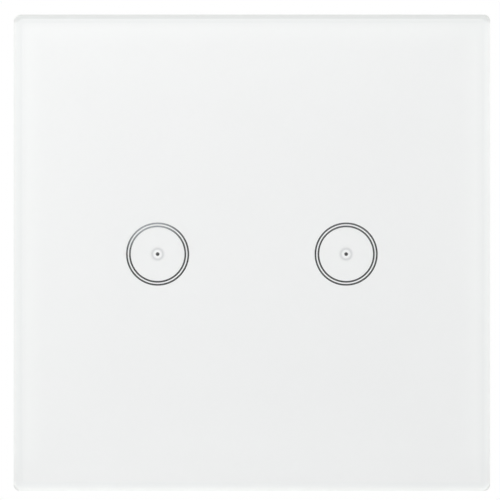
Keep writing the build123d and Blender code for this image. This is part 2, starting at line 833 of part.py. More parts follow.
def relay_bobbin(name, x):
    """The plastic spool that the coil is wound on."""
    spool_foot = relay_base_thickness + yoke_thickness + relay_base_gap
    spool_head = pole_top - pole_thickness - core_gap
    spot = relay_spots(x, [(0, coil_offset)])
    with BuildPart() as bobbin:
        rods(above_board(spool_head), above_board(spool_foot), core_radius + core_gap + bobbin_wall, spot)
        rods(above_board(spool_foot + bobbin_flange), above_board(spool_foot), bobbin_flange_radius, spot)
        rods(above_board(spool_head), above_board(spool_head - bobbin_flange), bobbin_flange_radius, spot)
        rods(above_board(spool_head), above_board(spool_foot), core_radius + core_gap, spot, Mode.SUBTRACT)
    save(bobbin, name)


def relay_coil(name, x):
    """The winding of fine copper wire, as the closed ring that it fills."""
    coil_foot = relay_base_thickness + yoke_thickness + relay_base_gap + bobbin_flange + winding_gap
    coil_head = pole_top - pole_thickness - core_gap - bobbin_flange - winding_gap
    spot = relay_spots(x, [(0, coil_offset)])
    with BuildPart() as coil:
        rods(above_board(coil_head), above_board(coil_foot), winding_radius, spot)
        rods(above_board(coil_head), above_board(coil_foot),
             core_radius + core_gap + bobbin_wall + winding_gap, spot, Mode.SUBTRACT)
    save(coil, name)


def relay_yoke(name, x):
    """The iron yoke with the core riveted to it."""
    foot = relay_base_thickness
    foot_end = coil_offset + pole_radius
    spot = relay_spots(x, [(0, coil_offset)])
    with BuildPart() as yoke:
        slab(above_board(foot + yoke_thickness), above_board(foot), yoke_width, foot_end - yoke_back,
             (x, relay_z + (foot_end + yoke_back) / 2))
        slab(above_board(yoke_top), above_board(foot), yoke_width, yoke_thickness,
             (x, relay_z + yoke_back + yoke_thickness / 2))
        rods(above_board(pole_top), above_board(foot + yoke_thickness), core_radius, spot)
        rods(above_board(pole_top), above_board(pole_top - pole_thickness), pole_radius, spot)
    save(yoke, name)


def relay_contacts(name, x):
    """The fixed contact on its strip, the common pin and the two coil pins."""
    strip_spot = (x, relay_z + strip_middle)
    with BuildPart() as contacts:
        slab(above_board(fixed_strip_top), above_board(0), fixed_strip_width, fixed_strip_thickness,
             strip_spot)
        slab(above_board(thick_pin), pin_end, fixed_lug_width, fixed_strip_thickness, strip_spot)
        with BuildSketch(Plane.XY.offset(relay_z + strip_front)) as button:
            with Locations((x, contact_level - power_board_back)):
                Circle(contact_radius)
        extrude(button.sketch, amount=fixed_contact_height)
        rods(above_board(relay_base_thickness), pin_end, thick_pin, relay_spots(x, [common_pin_offset]))
        rods(above_board(coil_pin_top), pin_end, coil_pin_radius, relay_spots(x, coil_pin_offsets))
    save(contacts, name)


plate_level = yoke_top + armature_lift
leg_front = yoke_back - armature_leg_gap
leg_back = leg_front - armature_leg_thickness
blade_back = leg_back - blade_thickness


def relay_armature(name, x):
    """The iron flap that the core pulls, with a leg that hangs behind the yoke."""
    plate_top = plate_level + armature_thickness
    with BuildPart() as armature:
        slab(above_board(plate_top), above_board(plate_level), armature_width, armature_reach - leg_back,
             (x, relay_z + (armature_reach + leg_back) / 2))
        slab(above_board(plate_top), above_board(armature_leg_end), armature_width,
             armature_leg_thickness, (x, relay_z + (leg_front + leg_back) / 2))
    save(armature, name)


def relay_blade(name, x):
    """The springy blade on the armature's leg, with the moving contact at its end."""
    with BuildPart() as blade:
        slab(above_board(blade_top), above_board(blade_end), blade_width, blade_thickness,
             (x, relay_z + (leg_back + blade_back) / 2))
        with BuildSketch(Plane.XY.offset(relay_z + blade_back)) as button:
            with Locations((x, contact_level - power_board_back)):
                Circle(contact_radius)
        extrude(button.sketch, amount=-moving_contact_height)
    save(blade, name)


for side, relay_x in (("left", relay_left_x), ("right", relay_right_x)):
    relay_case(f"relay_{side}_case", relay_x)
    relay_base(f"relay_{side}_base", relay_x)
    relay_bobbin(f"relay_{side}_bobbin", relay_x)
    relay_coil(f"relay_{side}_coil", relay_x)
    relay_yoke(f"relay_{side}_yoke", relay_x)
    relay_contacts(f"relay_{side}_contacts", relay_x)
    relay_armature(f"relay_{side}_armature", relay_x)
    relay_blade(f"relay_{side}_contact_blade", relay_x)

# Transformer: ferrite core, winding under tape, and the pin base
transformer_spot = (transformer_x, supply_z)
core_foot = bobbin_base_height
core_head = core_foot + core_height
with BuildPart() as transformer_core:
    slab(above_board(core_head), above_board(core_foot), core_width, core_depth, transformer_spot)
    for side in (-1, 1):
        slab(above_board(core_head - core_back), above_board(core_foot + core_back), core_window,
             core_depth, (transformer_x + side * (core_leg + core_window) / 2, supply_z),
             Mode.SUBTRACT)
save(transformer_core, "transformer_core")

with BuildPart() as transformer_winding:
    winding_foot = core_foot + core_back + winding_clear
    winding_head = core_head - core_back - winding_clear
    slab(above_board(winding_head), above_board(winding_foot),
         core_leg + 2 * (core_window - winding_clear), supply_length - 2 * winding_inset, transformer_spot)
    fillet(edges().filter_by(Axis.Y), winding_corner)
    slab(above_board(winding_head), above_board(winding_foot), core_leg + 2 * winding_clear,
         core_depth + 2 * winding_clear, transformer_spot, Mode.SUBTRACT)
save(transformer_winding, "transformer_winding")

with BuildPart() as transformer_base:
    slab(above_board(bobbin_base_height), above_board(0), bobbin_base_width, supply_length,
         transformer_spot)
    rods(above_board(bobbin_base_height / 2), pin_end, thin_pin, transformer_pin_spots)
save(transformer_base, "transformer_base")

# Filter inductor: a drum core with its winding
with BuildPart() as filter_inductor:
    inductor_spot = [(inductor_x, supply_z)]
    rods(above_board(inductor_height), above_board(0), inductor_radius - drum_step, inductor_spot)
    rods(above_board(drum_flange), above_board(0), inductor_radius, inductor_spot)
    rods(above_board(inductor_height), above_board(inductor_height - drum_flange), inductor_radius,
         inductor_spot)
    rods(above_board(drum_flange / 2), pin_end, thin_pin, inductor_pin_spots)
save(filter_inductor, "filter_inductor")


def capacitor(name, centre, radius, height, pin_spots):
    """An upright can capacitor: sleeve, crimp groove near the foot, rounded head."""
    with BuildPart() as can:
        rods(above_board(height), above_board(0), radius, [centre])
        fillet(edges().filter_by(GeomType.CIRCLE), capacitor_crimp)
        with BuildSketch(at_depth(above_board(capacitor_groove_height + capacitor_crimp))) as ring:
            with Locations(centre):
                Circle(radius)
                Circle(radius - capacitor_crimp, mode=Mode.SUBTRACT)
        extrude(ring.sketch, amount=capacitor_crimp, mode=Mode.SUBTRACT)
        rods(above_board(capacitor_groove_height), pin_end, thin_pin, pin_spots)
    save(can, name)


capacitor("input_capacitor", (can_x, input_capacitor_z), input_capacitor_radius,
          input_capacitor_height, input_capacitor_pin_spots)
capacitor("output_capacitor", (can_x, supply_z), output_capacitor_radius,
          output_capacitor_height, output_capacitor_pin_spots)

# Surge varistor: a lacquered disc that stands on its two leads
with BuildPart() as varistor:
    disc_level = varistor_lift + varistor_radius
    with BuildSketch(Plane.XY.offset(varistor_z - varistor_thickness / 2)):
        with Locations((can_x, disc_level - power_board_back)):
            Circle(varistor_radius)
    extrude(amount=varistor_thickness)
    fillet(edges().filter_by(GeomType.CIRCLE), varistor_edge)
    rods(above_board(disc_level), pin_end, thin_pin, varistor_pin_spots)
save(varistor, "varistor")

# Fusible resistor: it lies on the board, and its leads turn down at both ends
with BuildPart() as fuse_resistor:
    fuse_level = fuse_lift + fuse_radius
    fuse_reach = fuse_length / 2 + fuse_lead_reach
    with BuildSketch(Plane.YZ.offset(can_x - fuse_length / 2)):
        with Locations((fuse_level - power_board_back, fuse_z)):
            Circle(fuse_radius)
    extrude(amount=fuse_length)
    fillet(edges().filter_by(GeomType.CIRCLE), fuse_edge)
    with BuildSketch(Plane.YZ.offset(can_x - fuse_reach)):
        with Locations((fuse_level - power_board_back, fuse_z)):
            Circle(thin_pin)
    extrude(amount=2 * fuse_reach)
    rods(above_board(fuse_level), pin_end, thin_pin, fuse_pin_spots)
save(fuse_resistor, "fuse_resistor")

# Terminal block: a cell for each wire, open towards the back where the screws go in
block_back = housing_inner_back + block_gap
plate_bottom = cell_bottom - plate_seat
plate_end = leg_bottom + plate_thickness
with BuildPart() as terminal_block:
    slab(block_back, power_board_back, block_width, block_length, (0, block_bottom + block_length / 2))
    slot_bottom = plate_bottom - plate_gap
    slot_end = plate_end + plate_gap
    for x, z in way_spots:
        slab(block_back, cell_floor, cell_width, cell_length, (x, z), Mode.SUBTRACT)
        slab(block_back, plate_front + plate_gap, plate_width + 2 * plate_gap, slot_end - slot_bottom,
             (x, (slot_bottom + slot_end) / 2), Mode.SUBTRACT)
        slab(block_back, power_board_back, plate_width + 2 * plate_gap, channel_length,
             (x, leg_bottom + plate_thickness / 2), Mode.SUBTRACT)
        with BuildSketch(Plane.XY.offset(block_bottom)):
            with Locations((x, -wire_level)):
                Circle(wire_entry_radius)
        with BuildSketch(Plane.XY.offset(cell_bottom)):
            with Locations((x, -wire_level)):
                Circle(wire_hole_radius)
        loft(mode=Mode.SUBTRACT)
save(terminal_block, "terminal_block")

# Contact plates: each runs through a cage and down to the board
with BuildPart() as terminal_plates:
    for x, z in way_spots:
        slab(plate_back, plate_front, plate_width, plate_end - plate_bottom,
             (x, (plate_bottom + plate_end) / 2))
        slab(plate_back, power_board_back, plate_width, plate_thickness,
             (x, leg_bottom + plate_thickness / 2))
    rods(power_board_back - thick_pin, pin_end, thick_pin, plate_pin_spots)
save(terminal_plates, "terminal_plates")


def terminal_cage(name, spot):
    """The brass frame that rises on the screw and clamps the wire against the plate."""
    with BuildPart() as cage:
        slab(cage_top_front - cage_top, cage_front, cage_width, cage_length, spot)
        slab(cage_top_front, cage_bottom_back, cage_width - 2 * cage_side, cage_length, spot,
             Mode.SUBTRACT)
        rods(cage_top_front - cage_top, cage_top_front, terminal_screw_radius + screw_fit, [spot],
             Mode.SUBTRACT)
    save(cage, name)


def terminal_screw(name, spot):
    """The clamping screw, with its head against the back wall of the housing."""
    with BuildPart() as screw:
        rods(terminal_head_back, terminal_head_front, terminal_head_radius, [spot])
        fillet(edges().group_by(Axis.Y)[-1], terminal_head_edge)
        rods(terminal_head_front, terminal_tip, terminal_screw_radius, [spot])
        chamfer(edges().group_by(Axis.Y)[0], recess_width / 2)
        cross_recess(terminal_head_back, terminal_head_back + recess_depth, terminal_recess_length, [spot])
    save(screw, name)


for number, way_spot in enumerate(way_spots, start=1):
    terminal_cage(f"terminal_cage_{number}", way_spot)
    terminal_screw(f"terminal_screw_{number}", way_spot)
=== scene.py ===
import json
from math import cos, pi, radians, sin

import bmesh
import bpy
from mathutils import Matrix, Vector


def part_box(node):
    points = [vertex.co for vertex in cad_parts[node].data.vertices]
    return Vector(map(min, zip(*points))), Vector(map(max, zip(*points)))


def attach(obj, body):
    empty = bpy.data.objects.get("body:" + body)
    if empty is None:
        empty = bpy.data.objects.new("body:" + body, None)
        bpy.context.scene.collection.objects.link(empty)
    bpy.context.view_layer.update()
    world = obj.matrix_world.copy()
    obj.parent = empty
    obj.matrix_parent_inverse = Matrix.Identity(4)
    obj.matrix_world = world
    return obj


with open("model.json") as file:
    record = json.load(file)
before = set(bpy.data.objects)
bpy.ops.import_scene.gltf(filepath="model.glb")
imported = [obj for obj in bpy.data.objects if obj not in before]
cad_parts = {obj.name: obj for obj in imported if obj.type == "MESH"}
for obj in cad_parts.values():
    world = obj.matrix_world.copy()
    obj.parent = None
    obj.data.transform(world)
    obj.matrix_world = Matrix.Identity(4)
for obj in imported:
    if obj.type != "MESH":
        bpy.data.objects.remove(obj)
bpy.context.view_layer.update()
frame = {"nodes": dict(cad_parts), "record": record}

# The looks of a two-gang touch switch with a white glass front.
# Pieces are in metres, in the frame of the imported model: X to the right, Z up, glass towards -Y.
# The patterns of the materials are in mm: a width of 100 / 7 puts seven of them in 100 mm.
MM = 0.001

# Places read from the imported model
glass_low, glass_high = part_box("glass_panel")
module_low, module_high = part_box("wifi_module")
socket_low, socket_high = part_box("header_socket")
spring_low, spring_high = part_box("touch_spring_right")
KEY_X = (spring_low.x + spring_high.x) / 2
KEY_Z = (spring_low.z + spring_high.z) / 2
HEADER_Z = (socket_low.z + socket_high.z) / 2
BOARD_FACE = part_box("touch_board")[0].y
MODULE_FACE = module_low.y
CAN_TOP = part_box("wifi_shield_can")[1].z

# The panel's outline in mm, for the materials that follow its rim
HALF_PANEL = (glass_high.x - glass_low.x) / 2 / MM
PANEL_TOP = glass_high.z / MM
PANEL_BOTTOM = glass_low.z / MM


# Camera

# The photograph is a straight front view. Its frame is 90.2 mm wide at the glass, and the panel's
# middle lies 0.34 mm right of the picture's middle and 0.49 mm below it.
PHOTO_WIDTH = 90.2 * MM
PHOTO_LEFT = 0.34 * MM
PHOTO_UP = 0.49 * MM
LENS = 400.0
SENSOR = 36.0
NEAREST_SEEN = 0.01
FARTHEST_SEEN = 50.0

camera_data = bpy.data.cameras.new("studio_camera")
camera_data.lens = LENS
camera_data.sensor_width = SENSOR
camera_data.clip_start = NEAREST_SEEN
camera_data.clip_end = FARTHEST_SEEN
camera = bpy.data.objects.new("studio_camera", camera_data)
bpy.context.scene.collection.objects.link(camera)
camera.location = (-PHOTO_LEFT, glass_low.y - PHOTO_WIDTH * LENS / SENSOR, PHOTO_UP)
camera.rotation_euler = (radians(90), 0, 0)
bpy.context.scene.camera = camera
bpy.context.scene.view_settings.view_transform = "Standard"


# Room and light

def linear(colour):
    """An sRGB hex colour such as #E8EAE6 as linear values, with alpha 1."""
    parts = [int(colour[n:n + 2], 16) / 255 for n in (1, 3, 5)]
    return [v / 12.92 if v <= 0.04045 else ((v + 0.055) / 1.055) ** 2.4 for v in parts] + [1]


def add(tree, kind, sockets=None, stops=(), **settings):
    """Add one node with its settings and links.

    A socket takes a value, an output, or a node whose first output in use is meant. Stops are a
    colour ramp's, each a place from 0 to 1 and a hex colour. Settings are the node's properties.
    """
    made = tree.nodes.new(kind)
    for name, value in settings.items():
        setattr(made, name, value)
    for name, value in (sockets or {}).items():
        if isinstance(value, bpy.types.Node):
            value = next(output for output in value.outputs if output.enabled)
        if isinstance(value, bpy.types.NodeSocket):
            tree.links.new(value, made.inputs[name])
        else:
            made.inputs[name].default_value = value
    if stops:
        band = made.color_ramp.elements
        while len(band) < len(stops):
            band.new(0.5)
        for element, (place, colour) in zip(band, stops):
            element.position = place
            element.color = linear(colour)
    return made


def area_lamp(name, place, aim, size, power, tint):
    """A square soft box that faces a point."""
    data = bpy.data.lights.new(name, "AREA")
    data.shape = "SQUARE"
    data.size = size
    data.energy = power
    data.color = linear(tint)[:3]
    lamp = bpy.data.objects.new(name, data)
    bpy.context.scene.collection.objects.link(lamp)
    lamp.location = place
    lamp.rotation_euler = (Vector(aim) - Vector(place)).to_track_quat("-Z", "Y").to_euler()
    lamp.visible_camera = False


# A soft box high on the left makes the upper left of the panel the brightest part.
area_lamp("key_softbox", (-0.18, -0.54, 0.34), (0, 0, 0), 0.20, 2.32, "#FFFDFB")
# A wide one overhead, behind the panel's front, whitens the floor, and two behind show the housing.
area_lamp("overhead_softbox", (0, 0.45, 1.25), (0, 0.45, 0), 1.20, 7.0, "#FFFFFF")
area_lamp("rear_softbox_left", (-0.75, 0.85, 0.55), (0, 0.01, 0), 0.70, 3.0, "#FFFFFF")
area_lamp("rear_softbox_right", (0.80, 0.60, 0.25), (0, 0.01, 0), 0.70, 1.5, "#FFFFFF")

# The room is plain white to the camera, to reflections and through glass, and a softer white as light.
AMBIENT = 0.43
world = bpy.data.worlds.new("white_room")
bpy.context.scene.world = world
world.use_nodes = True
sky = world.node_tree
sky.nodes.clear()
path = add(sky, "ShaderNodeLightPath")
direct = add(sky, "ShaderNodeMath", {0: path.outputs["Is Camera Ray"],
                                     1: path.outputs["Is Glossy Ray"]}, operation="ADD")
seen = add(sky, "ShaderNodeMath", {0: direct, 1: path.outputs["Is Transmission Ray"]},
           operation="ADD", use_clamp=True)
strength = add(sky, "ShaderNodeMapRange", {"Value": seen, "To Min": AMBIENT, "To Max": 1.0})
background = add(sky, "ShaderNodeBackground", {"Color": linear("#FFFFFF"), "Strength": strength})
add(sky, "ShaderNodeOutputWorld", {"Surface": background})


# Materials

# Nearly all of a noise pattern lies between these two values.
NOISE_LOW = 0.3
NOISE_HIGH = 0.7


def start_material(name):
    """A new material, and its Object coordinates in mm, which every pattern reads."""
    material = bpy.data.materials.new(name)
    material.use_nodes = True
    tree = material.node_tree
    tree.nodes.clear()
    coordinates = add(tree, "ShaderNodeTexCoord")
    place = add(tree, "ShaderNodeMapping", {"Vector": coordinates.outputs["Object"],
                                            "Scale": (1 / MM, 1 / MM, 1 / MM)})
    return material, tree, place


def in_mm(reach, stops):
    """A ramp's stops that are given in mm, as places from 0 to 1 over its reach."""
    return [(distance / reach, colour) for distance, colour in stops]


def moulded_plastic(name, colour, shade, roughness, grain=0.35, bump=0.02):
    """Injection-moulded plastic: an even colour with faint flow clouds, and a fine spark-eroded grain.

    grain is the width of the grain in mm; the real one is near 0.1 mm and is drawn coarser to show.
    bump is its depth in mm.
    """
    cloud_width = 100 / 7
    matt_range = 0.06
    material, tree, place = start_material(name)
    clouds = add(tree, "ShaderNodeTexNoise", {"Vector": place, "Scale": 1 / cloud_width, "Detail": 3.0})
    fill = add(tree, "ShaderNodeValToRGB", {"Fac": clouds}, [(0.35, shade), (0.65, colour)])
    grit = add(tree, "ShaderNodeTexNoise", {"Vector": place, "Scale": 1 / grain, "Detail": 2.0,
                                            "Roughness": 0.6})
    matt = add(tree, "ShaderNodeMapRange", {
        "Value": grit, "From Min": NOISE_LOW, "From Max": NOISE_HIGH,
        "To Min": roughness - matt_range, "To Max": roughness + matt_range})
    relief = add(tree, "ShaderNodeBump", {"Height": grit, "Strength": 0.35, "Distance": bump * MM})
    surface = add(tree, "ShaderNodeBsdfPrincipled", {
        "Base Color": fill, "Roughness": matt, "IOR": 1.5, "Normal": relief})
    add(tree, "ShaderNodeOutputMaterial", {"Surface": surface})
    return material


def plated_metal(name, colour, tarnish, roughness, streak=(6.0, 0.4, 6.0)):
    """Plated or drawn metal: its colour with faint tarnish, and fine marks along the way it was worked.

    streak is how many marks lie in a mm along each axis; the real ones are finer than the render shows.
    """
    stain_width = 10 / 6
    mark_depth = 0.004
    material, tree, place = start_material(name)
    stains = add(tree, "ShaderNodeTexNoise", {"Vector": place, "Scale": 1 / stain_width, "Detail": 4.0})
    fill = add(tree, "ShaderNodeValToRGB", {"Fac": stains}, [(0.35, tarnish), (0.6, colour)])
    drawn = add(tree, "ShaderNodeMapping", {"Vector": place, "Scale": streak})
    marks = add(tree, "ShaderNodeTexNoise", {"Vector": drawn, "Scale": 1.0, "Detail": 3.0})
    matt = add(tree, "ShaderNodeMapRange", {
        "Value": marks, "From Min": NOISE_LOW, "From Max": NOISE_HIGH,
        "To Min": roughness - 0.05, "To Max": roughness + 0.08})
    relief = add(tree, "ShaderNodeBump", {"Height": marks, "Strength": 0.3, "Distance": mark_depth * MM})
    surface = add(tree, "ShaderNodeBsdfPrincipled", {
        "Base Color": fill, "Metallic": 1.0, "Roughness": matt, "Normal": relief})
    add(tree, "ShaderNodeOutputMaterial", {"Surface": surface})
    return material


def rim_distance(tree, place):
    """How far a point lies inside the panel's outline, in mm."""
    split = add(tree, "ShaderNodeSeparateXYZ", {"Vector": place})
    across = add(tree, "ShaderNodeMath", {0: split.outputs["X"]}, operation="ABSOLUTE")
    up = add(tree, "ShaderNodeMath", {0: split.outputs["Z"]}, operation="ABSOLUTE")
    farthest = add(tree, "ShaderNodeMath", {0: across, 1: up}, operation="MAXIMUM")
    return add(tree, "ShaderNodeMath", {0: HALF_PANEL, 1: farthest}, operation="SUBTRACT")


def key_distance(tree, place):
    """How far a point lies from the nearer key's middle, in mm."""
    split = add(tree, "ShaderNodeSeparateXYZ", {"Vector": place})
    across = add(tree, "ShaderNodeMath", {0: split.outputs["X"]}, operation="ABSOLUTE")
    flat = add(tree, "ShaderNodeCombineXYZ", {"X": across, "Z": split.outputs["Z"]})
    return add(tree, "ShaderNodeVectorMath", {0: flat, 1: (KEY_X / MM, 0, KEY_Z / MM)},
               operation="DISTANCE")


# Float glass, cut and polished: clear, and frosted on its ground side faces, with the green of the
# iron in it. Lamps and soft light pass it, so that the white film behind it is lit as evenly as the
# real one.
def float_glass():
    rim_reach = 2.0
    frost_grain = 1 / 3
    # A face belongs to the sides where less than this share of its normal lies along Y
    side_tilt = 0.2
    # More than this many reflections are three or more
    trapped_depth = 2.5
    material, tree, place = start_material("float_glass")
    normal = add(tree, "ShaderNodeTexCoord").outputs["Normal"]
    forward = add(tree, "ShaderNodeSeparateXYZ", {"Vector": normal}).outputs["Y"]

    # Over the bevel, 1.5 mm wide, then a thin line of painted shade along its inner edge, then the flat
    # of the plate
    rim = add(tree, "ShaderNodeMapRange", {"Value": rim_distance(tree, place), "From Max": rim_reach})
    at_back = add(tree, "ShaderNodeMath", {0: forward, 1: side_tilt}, operation="GREATER_THAN")
    depth = add(tree, "ShaderNodeMath", {0: rim, 1: at_back}, operation="MAXIMUM")
    tint = add(tree, "ShaderNodeValToRGB", {"Fac": depth}, in_mm(rim_reach, [
        (0.0, "#FCFDFC"), (0.8, "#FDFEFE"), (1.2, "#F8FAFA"), (1.44, "#F8FAFA"), (1.68, "#FDFEFE")]))
    polished = add(tree, "ShaderNodeBsdfPrincipled", {"Base Color": tint, "Roughness": 0.0, "IOR": 1.52,
                                                      "Transmission Weight": 1.0})

    # The ground side faces. Their real grain is finer and is drawn coarser to show.
    speckle = add(tree, "ShaderNodeTexNoise", {"Vector": place, "Scale": 1 / frost_grain, "Detail": 3.0})
    frost = add(tree, "ShaderNodeValToRGB", {"Fac": speckle},
                [(NOISE_LOW, "#D3E6DC"), (NOISE_HIGH, "#DFEDE6")])
    ground = add(tree, "ShaderNodeBsdfPrincipled", {"Base Color": frost, "Roughness": 0.35, "IOR": 1.52})
    tilt = add(tree, "ShaderNodeMath", {0: forward}, operation="ABSOLUTE")
    sideways = add(tree, "ShaderNodeMath", {0: tilt, 1: side_tilt}, operation="LESS_THAN")

    # Light that has run to and fro inside the plate three times shows the green of its thickness
    way = add(tree, "ShaderNodeLightPath")
    trapped = add(tree, "ShaderNodeMath", {0: way.outputs["Glossy Depth"], 1: trapped_depth},
                  operation="GREATER_THAN")
    green = add(tree, "ShaderNodeMath", {0: sideways, 1: trapped}, operation="MAXIMUM")
    glass = add(tree, "ShaderNodeMixShader", {0: green, 1: polished, 2: ground})
    clear = add(tree, "ShaderNodeBsdfTransparent", {"Color": linear("#FFFFFF")})
    passing = add(tree, "ShaderNodeMath", {0: way.outputs["Is Shadow Ray"],
                                           1: way.outputs["Is Diffuse Ray"]}, operation="MAXIMUM")
    surface = add(tree, "ShaderNodeMixShader", {0: passing, 1: glass, 2: clear})
    add(tree, "ShaderNodeOutputMaterial", {"Surface": surface})
    return material


# White ink on polyester film, screen printed: an even satin white. Its border is brightened by painted
# light, for the light that the glass edge gathers, and round each lamp window the film shows a pale disc
# in a ring of painted grey shade.
def printed_film():
    halo_reach = 2.0
    border_reach = 18.0
    cloud_width = 100 / 3
    screen_grain = 0.25
    material, tree, place = start_material("white_printed_film")
    # Round each lamp window: a pale disc, then a ring of painted grey shade
    halo = add(tree, "ShaderNodeMapRange", {"Value": key_distance(tree, place), "From Max": halo_reach})
    ink_and_ring_shade = add(tree, "ShaderNodeValToRGB", {"Fac": halo}, in_mm(halo_reach, [
        (0.30, "#808284"), (0.40, "#F0F1F2"), (0.68, "#EFF0F2"), (0.88, "#D1D3D5"),
        (1.02, "#CFD1D3"), (1.24, "#E4E5E6"), (1.44, "#ECEDEE")]))

    # How much painted light the film gets from the rim inwards, for the light that the glass edge gathers
    edge = add(tree, "ShaderNodeMapRange", {"Value": rim_distance(tree, place), "From Max": border_reach})
    gathered = add(tree, "ShaderNodeValToRGB", {"Fac": edge}, in_mm(border_reach, [
        (0.0, "#C8C8C8"), (1.494, "#BEBEBE"), (1.746, "#6E6E6E"), (2.574, "#B0B0B0"),
        (3.726, "#959595"), (5.4, "#666666"), (9.0, "#606060"), (18.0, "#000000")]))

    # Along the lower edge only the strip under the bevel gets painted light, and along the upper edge
    # that strip is painted shade
    height = add(tree, "ShaderNodeSeparateXYZ", {"Vector": place}).outputs["Z"]
    above_foot = add(tree, "ShaderNodeMapRange", {
        "Value": height, "From Min": PANEL_BOTTOM + 2.0, "From Max": PANEL_BOTTOM + 7.0})
    below_head = add(tree, "ShaderNodeMapRange", {
        "Value": height, "From Min": PANEL_TOP - 1.45, "From Max": PANEL_TOP - 1.15,
        "To Min": 1.0, "To Max": 0.0})
    at_head = add(tree, "ShaderNodeMath", {0: 1.0, 1: below_head}, operation="SUBTRACT")
    between = add(tree, "ShaderNodeMath", {0: above_foot, 1: below_head}, operation="MULTIPLY")
    at_foot = add(tree, "ShaderNodeMapRange", {
        "Value": height, "From Min": PANEL_BOTTOM + 1.7, "From Max": PANEL_BOTTOM + 0.6})
    border = add(tree, "ShaderNodeMath", {0: gathered, 1: between, 2: at_foot}, operation="MULTIPLY_ADD")

    clouds = add(tree, "ShaderNodeTexNoise", {"Vector": place, "Scale": 1 / cloud_width, "Detail": 2.0})
    lift = add(tree, "ShaderNodeMath", {0: clouds, 1: 0.12, 2: border}, operation="MULTIPLY_ADD",
               use_clamp=True)
    lit = add(tree, "ShaderNodeMix", {"Factor": lift, "A": ink_and_ring_shade, "B": linear("#F5F7F7")},
              data_type="RGBA")
    fill = add(tree, "ShaderNodeMix", {"Factor": at_head, "A": lit, "B": linear("#E2E4E4")},
               data_type="RGBA")
    grain = add(tree, "ShaderNodeTexNoise", {"Vector": place, "Scale": 1 / screen_grain, "Detail": 2.0})
    matt = add(tree, "ShaderNodeMapRange", {"Value": grain, "To Min": 0.42, "To Max": 0.52})
    surface = add(tree, "ShaderNodeBsdfPrincipled", {
        "Base Color": fill, "Roughness": matt, "IOR": 1.5})
    add(tree, "ShaderNodeOutputMaterial", {"Surface": surface})
    return material


# Slate ink with a little metal flake, screen printed: dark and even, with a painted glint that makes it
# paler at the upper left of the left key.
def slate_print():
    glint_left = 1.3
    glint_up = 5.3
    glint_full = 1.5
    glint_reach = 7.6
    paler_from = 2.0
    paler_to = 5.8
    paler_most = 0.2
    flake_width = 1 / 9
    material, tree, place = start_material("slate_screen_print")

    # The painted glint is strongest just left of the left key's top
    from_glint = add(tree, "ShaderNodeVectorMath", {
        0: place, 1: (-KEY_X / MM - glint_left, 0, KEY_Z / MM + glint_up)}, operation="SUBTRACT")
    flat = add(tree, "ShaderNodeVectorMath", {0: from_glint, 1: (1, 0, 1)}, operation="MULTIPLY")
    away = add(tree, "ShaderNodeVectorMath", {0: flat}, operation="LENGTH")
    glint = add(tree, "ShaderNodeMapRange", {
        "Value": away, "From Min": glint_full, "From Max": glint_reach, "To Min": 1.0, "To Max": 0.0},
                interpolation_type="SMOOTHSTEP")

    # Both keys' rings are a little paler towards their tops, a painted sheen
    height = add(tree, "ShaderNodeSeparateXYZ", {"Vector": place}).outputs["Z"]
    top = add(tree, "ShaderNodeMapRange", {
        "Value": height, "From Min": paler_from, "From Max": paler_to, "To Max": paler_most})
    pale = add(tree, "ShaderNodeMath", {0: glint, 1: top}, operation="MAXIMUM")
    flake = add(tree, "ShaderNodeTexNoise", {"Vector": place, "Scale": 1 / flake_width, "Detail": 2.0})
    mixed = add(tree, "ShaderNodeMath", {0: flake, 1: 0.02, 2: pale}, operation="MULTIPLY_ADD",
                use_clamp=True)
    fill = add(tree, "ShaderNodeValToRGB", {"Fac": mixed}, [(0.0, "#040609"), (1.0, "#92969A")])
    surface = add(tree, "ShaderNodeBsdfPrincipled", {
        "Base Color": fill, "Roughness": 0.38, "IOR": 1.5, "Specular IOR Level": 0.1})
    add(tree, "ShaderNodeOutputMaterial", {"Surface": surface})
    return material


# Smoked ink over the lamp window, screen printed: almost black, with the lamp behind it switched off.
def smoked_window():
    mottle_width = 1 / 6
    material, tree, place = start_material("smoked_window_ink")
    mottle = add(tree, "ShaderNodeTexNoise", {"Vector": place, "Scale": 1 / mottle_width, "Detail": 2.0})
    fill = add(tree, "ShaderNodeValToRGB", {"Fac": mottle},
               [(NOISE_LOW, "#0A0B0C"), (NOISE_HIGH, "#131416")])
    surface = add(tree, "ShaderNodeBsdfPrincipled", {
        "Base Color": fill, "Roughness": 0.3, "IOR": 1.5, "Specular IOR Level": 0.1})
    add(tree, "ShaderNodeOutputMaterial", {"Surface": surface})
    return material


# Foam tape, cast acrylic: soft white with open pores about 0.2 mm wide, painted darker inside as shade.
def foam_tape():
    pore_width = 2 / 9
    pore_depth = 0.05
    material, tree, place = start_material("acrylic_foam_tape")
    pores = add(tree, "ShaderNodeTexVoronoi", {"Vector": place, "Scale": 1 / pore_width})
    fill = add(tree, "ShaderNodeValToRGB", {"Fac": pores}, [(0.05, "#C9C8C2"), (0.35, "#E9E9E4")])
    relief = add(tree, "ShaderNodeBump", {"Height": pores, "Strength": 0.5, "Distance": pore_depth * MM})
    surface = add(tree, "ShaderNodeBsdfPrincipled", {
        "Base Color": fill, "Roughness": 0.82, "IOR": 1.45, "Normal": relief})
    add(tree, "ShaderNodeOutputMaterial", {"Surface": surface})
    return material


